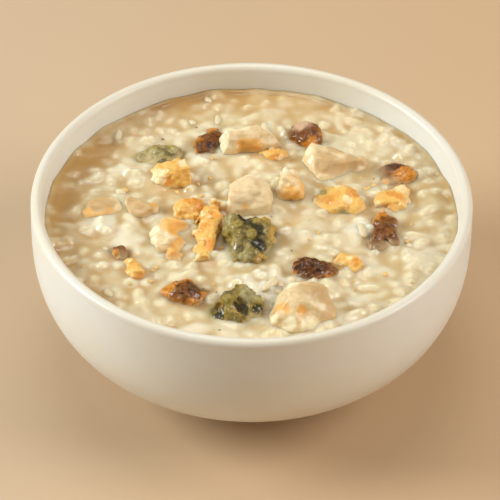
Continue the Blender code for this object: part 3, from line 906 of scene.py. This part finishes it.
def meatFinish():
    look = meatLook
    finish = Finish("lean_meat", Subsurface_Weight=0.5, Subsurface_Radius=(1.0, 0.7, 0.4),
                    Subsurface_Scale=0.0012, Coat_Roughness=0.14, IOR=1.36)
    patches = finish.speckle(110, 3, 0.55)
    edges = finish.speckle(260, 4, 0.65) - 0.5
    colour = finish.mix(patches.between(0.45, 0.75) * 0.4, look["beige"], look["tan"])
    mottle = finish.speckle(480, 4, 0.7)
    colour = finish.mix(mottle.between(0.45, 0.7) * 0.3, colour, look["cream"])
    colour = finish.mix((1 - mottle.between(0.3, 0.5)) * 0.25, colour, look["tan"])
    # the tan and gold spots are partly the meat's own colour, partly painted shade on faces turned from the
    # light; the cream spots partly painted highlight on lit tops and left edges
    colour = finish.mix((finish.mask("dark") + edges).between(0.1, 1.1) * 0.8, colour, look["tan"])
    colour = finish.mix((finish.mask("warm") + edges).between(0.1, 1.1) * 0.85, colour, look["gold"])
    colour = finish.mix((finish.mask("pale") + edges).between(0.1, 0.9) * 0.85, colour, look["cream"])
    # gold in the creases: partly the meat's own folds, partly painted shade
    colour = finish.mix(finish.mask("hollow").between(0.03, 0.4) * 0.4, colour, look["gold"])
    fibres = finish.node("VectorMath", {"operation": "MULTIPLY"}, {0: finish.place, 1: (0.3, 1.0, 1.0)})
    strands = finish.speckle(900, 2, 0.5, place=fibres)
    colour = finish.mix((1 - strands.between(0.3, 0.5)) * 0.2, colour, look["tan"])
    colour = finish.mix(finish.mask("film") * 0.55, colour, gelFilm)
    return finish.finished(
        Base_Color=colour,
        Roughness=0.34 + patches * 0.2,
        Coat_Weight=finish.speckle(200, 1).between(0.45, 0.7) * 0.6,
        Normal=finish.bump(strands, 0.25, 0.0003),
    )


kinds = {
    "jelly": dict(jellyLook, form=jellyForm, grain=jellyGrain, material=jellyFinish()),
    "yolk": dict(yolkLook, form=yolkForm, grain=yolkGrain, material=yolkFinish()),
    "salted": dict(saltedLook, form=saltedForm, grain=saltedGrain, material=saltedFinish()),
    "meat": dict(meatLook, form=meatForm, grain=meatGrain, material=meatFinish()),
}


def makeToppings():
    made = []
    for look in kinds.values():
        for name, form in look["pieces"].items():
            made.append(sculpt(name, look, len(made) + 1, **form))
    return made


toppings = makeToppings()
print("toppings done:", len(toppings), "pieces,", sum(len(p.data.vertices) for p in toppings), "points")

# The congee: a raster of heights and masks that grains are pressed into, then sampled by the mesh

rasterLook = dict(
    step=0.2, reach=62.5,
    coarse=2.0,                           # steps at which the solid's slow swells are read
    wall=4.6,                             # from the bowl's outside to where the congee meets it
    markDepth=0.4, markReach=0.4, markLeast=0.08,     # what counts as a topping standing there
)
axis = np.arange(-rasterLook["reach"], rasterLook["reach"] + 0.01, rasterLook["step"]) * mm
rasterX, rasterY = np.meshgrid(axis, axis, indexing="ij")
rasterFlat = np.stack((rasterX.ravel(), rasterY.ravel(), np.zeros(rasterX.size)), axis=1)
wallRadius = (rimRadius - rasterLook["wall"]) * mm


def rasterNoise(waves, layers, seed):
    return layeredNoise(rasterFlat, waves, layers, seed).reshape(rasterX.shape)


def blended(raster, i, j, s, t):
    # the value s and t of the way between four neighbours
    return ((raster[i, j] * (1 - s) + raster[i + 1, j] * s) * (1 - t)
            + (raster[i, j + 1] * (1 - s) + raster[i + 1, j + 1] * s) * t)


def within(limits, share):
    return limits[0] + (limits[1] - limits[0]) * share


def sampled(raster, x, y):
    # raster values between its points
    step = rasterLook["step"] * mm
    u = np.clip((x - axis[0]) / step, 0, len(axis) - 1.001)
    v = np.clip((y - axis[0]) / step, 0, len(axis) - 1.001)
    i, j = u.astype(int), v.astype(int)
    return blended(raster, i, j, u - i, v - j)


def blurred(raster, reach):
    # two passes of a running mean, reach in mm
    count = max(1, int(round(reach / rasterLook["step"])))
    for _ in range(2):
        for side in (0, 1):
            total = np.zeros_like(raster)
            for shift in range(-count, count + 1):
                total += np.roll(raster, shift, side)
            raster = total / (2 * count + 1)
    return raster


def softMax(a, b, blend):
    # the higher of two, with a fillet where they meet
    return np.maximum(a, b) + np.clip(blend - np.abs(a - b), 0, None) ** 2 / (4 * blend)


def restingHeights():
    # the solid's own slow swells, read here and there and smoothed between
    gap = rasterLook["coarse"] * mm
    coarse = np.arange(axis[0], axis[-1] + gap, gap)
    heights = np.array([[fillHeight(x, y) for y in coarse] for x in coarse])
    u = (rasterX - coarse[0]) / gap
    v = (rasterY - coarse[0]) / gap
    i = np.clip(u.astype(int), 0, len(coarse) - 2)
    j = np.clip(v.astype(int), 0, len(coarse) - 2)
    s, t = u - i, v - j
    return blended(heights, i, j, s * s * (3 - 2 * s), t * t * (3 - 2 * t))


def footprints(pieces):
    # where toppings stand in the congee
    marks = np.zeros_like(rasterX)
    step = rasterLook["step"] * mm
    for piece in pieces:
        points = pointsOf(piece.data)
        points = points[points[:, 2] > level - rasterLook["markDepth"] * mm]
        i = np.round((points[:, 0] - axis[0]) / step).astype(int)
        j = np.round((points[:, 1] - axis[0]) / step).astype(int)
        marks[i, j] = 1
    return (blurred(marks, rasterLook["markReach"]) > rasterLook["markLeast"]).astype(float)


riceLook = dict(
    seed=21,
    darts=26000, closest=3.5,             # tries at placing a grain, and the least gap between two in mm
    whole=dict(length=(6.8, 8.6), width=(3.6, 4.4), share=0.12),
    bits=dict(length=(4.8, 7.2), width=(4.6, 6.6)),
    rise=(-0.9, 1.9),                     # of a grain's top over the gel
    riseChance=0.7, riseThick=0.35,       # how much of that is chance, and how much the rice's thickness
    tilt=0.7, slant=0.2,                  # most tilt, and how far it shows
    fillet=0.8,
    lobes=(2, 5), spread=0.9, lobeSize=(0.5, 0.86), lobeDrop=0.4,
    bend=0.45, bendWaves=330,             # of the outlines
    pools=0.26, poolEdge=0.3,             # no grains where it is thinner than this, more or less
    clear=1.2,                            # kept free beside the wall
    richness={"all": 0.62, "slope": 0.3, "patches": 0.5, "back": 0.3, "clumps": 0.45},
    variants=10, burst=5,                 # loose shapes for each kind, and the lobes of a burst one
)

# where rice is heaped or thin: share of the inner radius, degrees, length and width in mm,
# degrees turned, mm of lift, and how much whiter or (below zero) soupier
clumps = [
    (0.73, -173, 9, 12, 80, 1.2, 0.9), (0.63, -162, 12, 11, 20, 1.0, 0.8),
    (0.80, -153, 14, 7, 5, 0.9, 0.6), (0.51, 121, 8, 7, 0, 1.0, 0.8), (0.52, -84, 15, 15, 30, 1.4, 0.9),
    (0.89, -59, 8, 7, 0, 0.9, 0.7), (0.81, -50, 8, 6, 0, 0.8, 0.6), (0.90, -107, 10, 7, 10, 1.0, 0.8),
    (0.88, -95, 10, 6, 0, 0.9, 0.6), (0.55, -11, 11, 9, 30, 1.5, 1.0), (0.27, -26, 16, 9, -15, 0.6, 0.3),
    (0.68, -34, 12, 8, 10, 0.6, 0.5), (0.88, -20, 14, 12, 60, 0.7, 0.5), (0.90, 35, 16, 9, -50, 0.8, 0.5),
    (0.72, 8, 9, 7, 0, 0.7, 0.5), (0.46, 143, 13, 8, 10, 0.5, 0.5), (0.84, 80, 22, 8, -8, 0.3, -0.2),
    (0.30, -112, 16, 8, 5, 0.5, 0.3), (0.84, 161, 7, 6, 60, 0.4, 0.5), (0.72, 152, 9, 5, -10, 0.5, 0.6),
    (0.90, 150, 22, 12, 50, -0.3, -0.9), (0.93, 178, 18, 10, 85, -0.3, -0.8),
    (0.60, 128, 18, 10, 40, -0.2, -0.5), (0.45, 168, 14, 10, 0, -0.2, -0.5),
    (0.62, -128, 16, 9, -20, -0.2, -0.3), (0.80, 118, 18, 9, 30, -0.2, -0.4),
]


def heaped(x, y):
    # lift in mm and whiteness of the clumps at these places
    lift, white = np.zeros(np.shape(x)), np.zeros(np.shape(x))
    for share, degrees, length, width, heading, up, pale in clumps:
        middle, turn = math.radians(degrees), math.radians(heading)
        dx = np.asarray(x) - share * wallRadius * math.cos(middle)
        dy = np.asarray(y) - share * wallRadius * math.sin(middle)
        along = (dx * math.cos(turn) + dy * math.sin(turn)) / (length * 0.5 * mm)
        across = (dy * math.cos(turn) - dx * math.sin(turn)) / (width * 0.5 * mm)
        near = 1 - eased(0.35, 1.35, np.hypot(along, across))
        lift = lift + near * up
        white = white + near * pale
    return lift, white


def richness(x, y):
    # how much rice lies at the top: thin soup at the back left, thick at the right and front
    points = np.stack((np.ravel(x), np.ravel(y), np.zeros(np.size(x))), axis=1)
    patches = layeredNoise(points, 75, 2, 8).reshape(np.shape(x))
    slope = (np.asarray(x) * 0.5 - np.asarray(y) * 0.6) / wallRadius
    depth = np.asarray(y) / wallRadius
    # less rice right by the back wall, partly thin soup and partly painted shadow of the wall
    back = eased(0.35, 0.6, depth) - 1.6 * eased(0.68, 0.9, depth)
    share = riceLook["richness"]
    rich = share["all"] + share["slope"] * slope + share["patches"] * patches + share["back"] * back
    return np.clip(rich + share["clumps"] * heaped(x, y)[1], 0.05, 1)


def dart(draw, reach):
    # an even throw onto a disc
    radius = reach * math.sqrt(draw.random())
    turn = draw.random() * math.tau
    return radius * math.cos(turn), radius * math.sin(turn), radius


def scatterRice(ground, taken):
    # places grains, higher where richness is high, none in pools or under a topping
    draw = np.random.default_rng(riceLook["seed"])
    grains = []
    cells = {}
    spacing = riceLook["closest"] * mm
    rich = richness(rasterX, rasterY)
    for _ in range(riceLook["darts"]):
        x, y, radius = dart(draw, wallRadius)
        here = np.array(x), np.array(y)
        thick = float(sampled(rich, *here))
        chance, whole, size, aspect, lift, heading, tilt, _ = draw.random(8)
        pool = thick + riceLook["poolEdge"] * (chance - 0.5) < riceLook["pools"]
        if pool or sampled(taken, *here) > 0.3 or radius > wallRadius - riceLook["clear"] * mm:
            continue
        home = (int(x // spacing), int(y // spacing))
        around = [(home[0] + i, home[1] + j) for i in (-1, 0, 1) for j in (-1, 0, 1)]
        near = [grain for cell in around for grain in cells.get(cell, [])]
        if any(math.hypot(g["x"] - x, g["y"] - y) < spacing for g in near):
            continue
        isWhole = whole < riceLook["whole"]["share"]
        form = riceLook["whole"] if isWhole else riceLook["bits"]
        length, width = within(form["length"], size), within(form["width"], aspect)
        rise = within(riceLook["rise"], riceLook["riseChance"] * lift + riceLook["riseThick"] * thick)
        grain = dict(x=x, y=y, turn=heading * math.pi, tilt=(tilt - 0.5) * riceLook["tilt"],
                     length=length * mm, width=min(width, length * 0.95) * mm, rise=rise * mm,
                     whole=isWhole, blunt=1.3 if isWhole else 1, ground=float(sampled(ground, *here)))
        grains.append(grain)
        cells.setdefault(home, []).append(grain)
    return grains


def pressGrains(heights, bodies, grains):
    # each grain lifts the gel into a lumpy mound, and leaves its body in a mask of its own
    step = rasterLook["step"] * mm
    bendX, bendY = [rasterNoise(riceLook["bendWaves"], 2, seed) * riceLook["bend"] * mm for seed in (31, 32)]
    draw = np.random.default_rng(riceLook["seed"] + 1)
    for grain in sorted(grains, key=lambda g: g["rise"]):
        reach = grain["length"] * 0.5 * 1.7
        low = [int(np.clip((grain[k] - reach - axis[0]) / step, 0, len(axis) - 2)) for k in "xy"]
        high = [int(np.clip((grain[k] + reach - axis[0]) / step, 1, len(axis) - 1)) for k in "xy"]
        window = (slice(low[0], high[0] + 1), slice(low[1], high[1] + 1))
        dx = rasterX[window] + bendX[window] - grain["x"]
        dy = rasterY[window] + bendY[window] - grain["y"]
        cos, sin = math.cos(grain["turn"]), math.sin(grain["turn"])
        along = (dx * cos + dy * sin) / (grain["length"] * 0.5)
        across = (dy * cos - dx * sin) / (grain["width"] * 0.5)
        lobes = []
        for _ in range(draw.integers(*riceLook["lobes"])):
            middle = (draw.random(2) - 0.5) * riceLook["spread"]
            size = within(riceLook["lobeSize"], draw.random())
            lobes.append((*middle, size, riceLook["lobeDrop"] * draw.random() ** 2))
        if grain["whole"]:
            lobes = [(0, 0, 1, 0)]
        top = grain["ground"] + grain["rise"]
        depth = grain["width"] * 0.5
        mound = np.full(dx.shape, -1.0)
        for u, v, size, drop in lobes:
            rho = (((along - u) / size) ** 2) ** grain["blunt"] + ((across - v) / size) ** 2
            mound = np.maximum(mound, top - depth * size * rho - drop * depth)
        mound += grain["tilt"] * along * grain["length"] * riceLook["slant"]
        heights[window] = softMax(heights[window], mound, riceLook["fillet"] * mm)
        body = eased(top - depth * 0.9, top - depth * 0.1, mound) * eased(-1.6, 0.6, grain["rise"] / mm)
        bodies[window] = np.maximum(bodies[window], body)


def riceVariant(index, whole):
    # one grain lying along X, 1 long and 1 wide: swollen and bent, or burst into lobes
    bm = bmesh.new()
    bmesh.ops.create_icosphere(bm, subdivisions=3, radius=0.5)
    mesh = bpy.data.meshes.new("grain")
    bm.to_mesh(mesh)
    bm.free()
    points = pointsOf(mesh)
    faces = [tuple(f.vertices) for f in mesh.polygons]
    bpy.data.meshes.remove(mesh)
    away = points / 0.5
    if whole:
        x = points[:, 0] * 2
        swell = (1 + x ** 2) ** 0.3 * (1 - 0.12 * x ** 2 + 0.14 * x * (1 if index % 2 else -1))
        points[:, 1:] *= swell[:, None]
        points[:, 1] += 0.1 * (x ** 2 - 0.4) * (-1) ** (index // 2)
        points += away * (0.13 * layeredNoise(away, 1.3, 2, index))[:, None]
    else:
        draw = np.random.default_rng(index + 70)
        reach = np.full(len(away), 0.3)
        for _ in range(riceLook["burst"]):
            middle = (draw.random(3) - 0.5) * np.array((0.5, 0.44, 0.36))
            size = 0.3 + 0.12 * draw.random()
            facing = away @ middle
            inside = facing ** 2 - middle @ middle + size ** 2
            lobe = np.where(inside > 0, facing + np.sqrt(np.clip(inside, 0, None)), 0)
            reach = softMax(reach, lobe, 0.2)
        points = away * (reach * (1 + 0.07 * layeredNoise(away, 2.1, 2, index)))[:, None]
        points /= np.ptp(points, axis=0)
    return points, faces


def makeRice(name, grains, look, material, slot):
    # joins placed grains into one mesh
    variants = [riceVariant(i, look["whole"]) for i in range(riceLook["variants"])]
    points, faces, sunk, own = [], [], [], []
    total = 0
    for grain in grains:
        shape, links = variants[int(grain["variant"] * (len(variants) - 0.01))]
        tall = grain["width"] * 0.92
        size = np.array((grain["length"], grain["width"], tall))
        turn = np.array(Matrix.Rotation(grain["turn"], 3, "Z") @ Matrix.Rotation(-grain["tilt"], 3, "Y"))
        centre = np.array((grain["x"], grain["y"], grain["ground"] + grain["rise"] - tall / 2))
        placed = (shape * size) @ turn.T + centre
        points.append(placed)
        faces += [tuple(total + i for i in face) for face in links]
        sunk.append(np.clip((placed[:, 2] - centre[2]) / tall * 2, -1, 1))
        own.append(np.full(len(placed), (grain["variant"] * 7 % 1) * 0.6 + 0.5 - 0.5 * grain["thick"]))
        total += len(placed)
    mesh = meshFrom(name, np.concatenate(points), faces)
    setMask(mesh, "up", np.concatenate(sunk))
    setMask(mesh, "own", np.concatenate(own))
    setMask(mesh, "film", np.full(total, look.get("film", 0)))
    return addPiece(name, mesh, material, slot)


congeeColours = dict(
    grain=paint(227, 208, 165), soup=paint(205, 172, 115), gold=paint(200, 162, 102),
    # rim is the colour of the painted shadow of the bowl's wall
    cream=paint(229, 213, 176), white=paint(240, 230, 205), rim=paint(190, 142, 74),
    yellow=paint(240, 196, 104), orange=paint(214, 148, 66), brown=paint(150, 96, 50),
    moss=paint(140, 130, 76),
)


def congeeFinish():
    c = congeeColours
    finish = Finish("congee", Subsurface_Weight=0.95, Subsurface_Radius=(1.0, 0.8, 0.5),
                    Subsurface_Scale=0.0045, Coat_Roughness=0.05, IOR=1.36)
    rice, soup = finish.mask("rice"), finish.mask("soup")
    gel = finish.mix(soup, c["soup"], c["gold"])
    fleck = finish.speckle(520, 3, 0.6)
    colour = finish.mix((rice + (fleck - 0.5) * 0.3).between(0.05, 0.95), gel, c["cream"])
    whiter = finish.mask("white") * (rice + fleck * 0.3).between(0.3, 1.1)
    colour = finish.mix(whiter * 0.8, colour, c["white"])
    specks = (1 - finish.cells(300).between(0.08, 0.2)) * finish.speckle(90, 1).between(0.52, 0.62)
    colour = finish.mix(specks * 0.6, colour, c["yellow"])
    # painted shadow of the bowl's wall on the soup near it, weaker over the rice
    colour = finish.mix(finish.mask("edge") * (1.05 - rice * 0.45) * 0.62, colour, c["rim"])
    for stain in ("orange", "moss", "brown"):
        colour = finish.mix(finish.mask(stain) * (1.1 - rice) * 0.6, colour, c[stain])
    return finish.finished(
        Base_Color=colour,
        Roughness=0.28 + fleck * 0.2,
        Coat_Weight=0.4 + finish.speckle(190, 1).between(0.4, 0.6) * 0.6,
        Normal=finish.bump(finish.speckle(1400, 2) + fleck, 0.25, 0.0003),
    )


def riceFinish():
    c = congeeColours
    finish = Finish("soft_rice", Subsurface_Weight=0.2, Subsurface_Radius=(1.0, 0.85, 0.6),
                    Subsurface_Scale=0.0005, Coat_Roughness=0.06, IOR=1.36)
    cloud = finish.speckle(380, 3, 0.6)
    own = finish.mask("own")
    colour = finish.mix(own * 0.4 + cloud.between(0.4, 0.8) * 0.4 + 0.3, c["cream"], c["grain"])
    colour = finish.mix((0.6 - finish.mask("up")).between(0.0, 0.9) * 0.8, colour, c["soup"])
    return finish.finished(
        Base_Color=colour,
        Roughness=0.3 + cloud * 0.16,
        Coat_Weight=0.15 + finish.speckle(300, 1).between(0.4, 0.65) * 0.5,
        Normal=finish.bump(finish.speckle(1300, 2), 0.2, 0.0003),
    )


congeeLook = dict(
    grid=296,                             # points along a side of the top
    swell=1.2, swellWaves=95, lift=0.8,   # slow swells, and the clumps' share of their lift
    bits=0.32, bitWaves=520,              # rice crumbs
    ripple=0.14, rippleWaves=260,
    crevice=0.05, creviceReach=1.4,       # how far gaps between grains lie under their surroundings
    soft=0.65, softReach=0.4,             # the gel over everything
    meniscus=0.7, meniscusReach=1.2, standing=2.6,     # the rise at toppings that stand so high
    wallRise=0.66, wallReach=1.6,         # the rise at the bowl's wall
    reliefReach=2.6,
    starch=0.4, starchWaves=130,          # cloudy starch just under the top
    patchWaves=60, band=13, bandBack=8,   # the soup's patches, and the painted shadow of the bowl's wall along its edge, widest at the back
    stain=1.6, stainReach=1.3,            # colour that toppings give off
    skirtSteps=9, skirt=(0.16, 0.96),     # the wall's shares that the unseen sides follow
    into=1.1, sideLift=0.2, floorLift=0.3,
)


def stained(kind):
    # the gel around one kind of topping
    marks = footprints([p for p in toppings if p.name.startswith(kind)])
    return np.clip(blurred(marks, congeeLook["stainReach"]) * congeeLook["stain"], 0, 1)


def congeeRaster():
    look = congeeLook
    taken = footprints(toppings)
    rich = richness(rasterX, rasterY)
    lift, white = heaped(rasterX, rasterY)
    swell = rasterNoise(look["swellWaves"], 2, 3) * (0.3 + 0.7 * rich)
    clear = 1 - np.clip(blurred(taken, 2.0) * 1.3, 0, 1)
    ground = restingHeights() + (lift * look["lift"] + look["swell"] * swell) * clear * mm
    nearest, second, own = cellNoise(rasterFlat, look["bitWaves"], 2)
    crumbs = (np.clip(0.6 - nearest, 0, 1) * (own > 0.35)).reshape(rasterX.shape)
    ripple = rasterNoise(look["rippleWaves"], 2, 6)
    heights = ground + (look["bits"] * crumbs * rich + look["ripple"] * ripple) * mm
    bodies = np.zeros(rasterX.shape)
    grains = scatterRice(ground, taken)
    pressGrains(heights, bodies, grains)
    heights = softMax(heights, blurred(heights, look["creviceReach"]) - look["crevice"] * mm, 0.4 * mm)
    heights = heights * (1 - look["soft"]) + blurred(heights, look["softReach"]) * look["soft"]
    tall = footprints([p for p in toppings if pointsOf(p.data)[:, 2].max() > level + look["standing"] * mm])
    heights += blurred(tall, look["meniscusReach"]) * look["meniscus"] * mm
    radius = np.hypot(rasterX, rasterY)
    heights += eased(wallRadius - look["wallReach"] * mm, wallRadius, radius) * look["wallRise"] * mm

    relief = (heights - blurred(heights, look["reliefReach"])) / mm
    rice = eased(-0.9, 0.7, relief + 0.15 * ripple) * (0.25 + 0.75 * rich) + blurred(bodies, 0.6) * 0.45
    rice += look["starch"] * eased(-0.1, 0.7, rasterNoise(look["starchWaves"], 3, 18)) * rich
    patches = rasterNoise(look["patchWaves"], 3, 12)
    deep = eased(0.15, 0.9, -relief)
    soup = 0.35 + 0.6 * patches - 0.7 * (rich - 0.6) + 0.6 * deep
    ragged = rasterNoise(120, 2, 15) * 0.9 * mm
    # painted shadow of the bowl's wall: a wide band, darkest at the back and left, and a narrow painted
    # shade where the congee meets the wall
    shaded = np.clip(0.45 + (0.55 * rasterY - 0.6 * rasterX) / wallRadius, 0.3, 1)
    band = (look["band"] + look["bandBack"] * np.clip(rasterY / wallRadius, 0, 1)) * mm
    edge = eased(wallRadius - band, wallRadius - 2 * mm, radius + ragged * 1.5) * shaded
    rim = eased(wallRadius - 2.4 * mm, wallRadius - 0.4 * mm, radius + ragged)
    raster = dict(
        heights=heights, rice=blurred(np.clip(rice, 0, 1), 0.3), soup=np.clip(soup, 0, 1),
        edge=np.maximum(edge, rim), white=np.clip(white, 0, 1),
        orange=stained("salted"), moss=stained("yolk"), brown=stained("jelly"),
    )
    return raster, grains


def discGrid(count):
    # points of a square grid eased onto a disc of radius 1, and its quads
    side = np.linspace(-1, 1, count)
    a, b = np.meshgrid(side, side, indexing="ij")
    wide = np.abs(a) > np.abs(b)
    radius = np.where(wide, a, b)
    safe = np.where(radius == 0, 1, radius)
    angle = np.where(wide, math.pi / 4 * b / safe, math.pi / 2 - math.pi / 4 * a / safe)
    index = np.arange(count * count).reshape(count, count)
    corners = index[:-1, :-1], index[1:, :-1], index[1:, 1:], index[:-1, 1:]
    faces = np.stack(corners, axis=-1).reshape(-1, 4)
    loop = np.concatenate((index[:-1, 0], index[-1, :-1], index[:0:-1, -1], index[0, :0:-1]))
    return (radius * np.cos(angle)).ravel(), (radius * np.sin(angle)).ravel(), faces, loop


def makeCongee(raster):
    # the top sampled from the raster, then rings down the inside of the bowl's wall
    x, y, faces, loop = discGrid(congeeLook["grid"])
    reach = wallRadius + congeeLook["into"] * mm
    x, y = x * reach, y * reach
    points = np.stack((x, y, sampled(raster["heights"], x, y)), axis=1)
    faces = faces.tolist()
    rings = [loop]
    count = len(points)
    top = points[loop]
    layers = [points]
    steps = congeeLook["skirtSteps"]
    for step in range(1, steps):
        radius, height = innerWall(within(congeeLook["skirt"], step / steps))
        ring = top * (radius + congeeLook["into"]) * mm / reach
        ring[:, 2] = (height + congeeLook["sideLift"]) * mm
        layers.append(ring)
        rings.append(np.arange(count, count + len(loop)))
        count += len(loop)
    for upper, lower in zip(rings, rings[1:]):
        for i in range(len(loop)):
            j = (i + 1) % len(loop)
            faces.append((upper[i], lower[i], lower[j], upper[j]))
    layers.append(np.array([(0, 0, (bowlLook["floor"] + congeeLook["floorLift"]) * mm)]))
    for i in range(len(loop)):
        faces.append((rings[-1][i], count, rings[-1][(i + 1) % len(loop)]))
    points = np.concatenate(layers)
    mesh = meshFrom("congee_gel", points, faces)
    bm = bmesh.new()
    bm.from_mesh(mesh)
    bmesh.ops.recalc_face_normals(bm, faces=bm.faces)
    bm.to_mesh(mesh)
    bm.free()
    unseen = np.zeros(len(points) - len(x))
    for name in [word for word in raster if word != "heights"]:
        setMask(mesh, name, np.concatenate((sampled(raster[name], x, y), unseen)))
    return addPiece("congee_gel", mesh, congeeFinish(), "congee", "congee")


raster, grains = congeeRaster()
makeCongee(raster)
print("congee done:", len(grains), "grains pressed in")

# A few grains and crumbs that lie loose on top. Length is in mm, width a share of it, and rise how far
# the top stands over the gel as a share of the width. Crumbs lie near their own kind of topping.

crumbLook = dict(whole=False, width=(0.6, 0.95), rise=(0.0, 0.3), film=0.6)
looseLook = {
    "rice_whole": dict(whole=True, width=(0.38, 0.46), rise=(0.05, 0.25), count=6, length=(5.6, 7.0),
                       seed=26),
    "rice_broken": dict(whole=False, width=(0.65, 0.85), rise=(0.1, 0.3), count=8, length=(2.8, 3.8),
                        seed=27),
    "egg_crumbs": dict(crumbLook, count=40, length=(0.9, 2.4), near="salted", reach=16, seed=28),
    "jelly_crumbs": dict(crumbLook, count=4, length=(0.9, 1.8), near="jelly", reach=1, seed=29),
    "yolk_crumbs": dict(crumbLook, count=4, length=(0.9, 1.8), near="yolk", reach=1, seed=30),
}


def looseGrains(look, heights):
    # places on the congee, clear of the toppings and the wall
    draw = np.random.default_rng(look["seed"])
    taken = blurred(footprints(toppings), 0.6)
    homes = [p for p in toppings if "near" in look and p.name.startswith(look["near"])]
    loose = []
    while len(loose) < look["count"]:
        x, y, radius = dart(draw, wallRadius - 3 * mm)
        chance, size, aspect, heading, tilt, variant, lift, away, side = draw.random(9)
        if homes:
            low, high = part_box(homes[int(variant * len(homes))].name.replace("_sculpted", ""))
            reach = (high - low).xy.length / 2 + away ** 2 * look["reach"] * mm
            x = (low.x + high.x) / 2 + reach * math.cos(side * math.tau)
            y = (low.y + high.y) / 2 + reach * math.sin(side * math.tau)
        here = np.array(x), np.array(y)
        thin = not homes and chance > richness(*here)
        if thin or sampled(taken, *here) > 0.15 or math.hypot(x, y) > wallRadius - 2 * mm:
            continue
        length = within(look["length"], size)
        width = length * within(look["width"], aspect)
        rise = width * within(look["rise"], lift)
        loose.append(dict(x=x, y=y, turn=heading * math.pi, tilt=(tilt - 0.5) * 0.4, length=length * mm,
                          width=width * mm, rise=rise * mm, variant=variant, thick=float(richness(*here)),
                          ground=float(sampled(heights, *here))))
    return loose


softRice = riceFinish()
for name, look in looseLook.items():
    material, slot = softRice, "congee"
    if "near" in look:
        material, slot = kinds[look["near"]]["material"], kinds[look["near"]]["slot"]
    makeRice(name, looseGrains(look, raster["heights"]), look, material, slot)
print("loose grains and crumbs done:", sum(look["count"] for look in looseLook.values()))
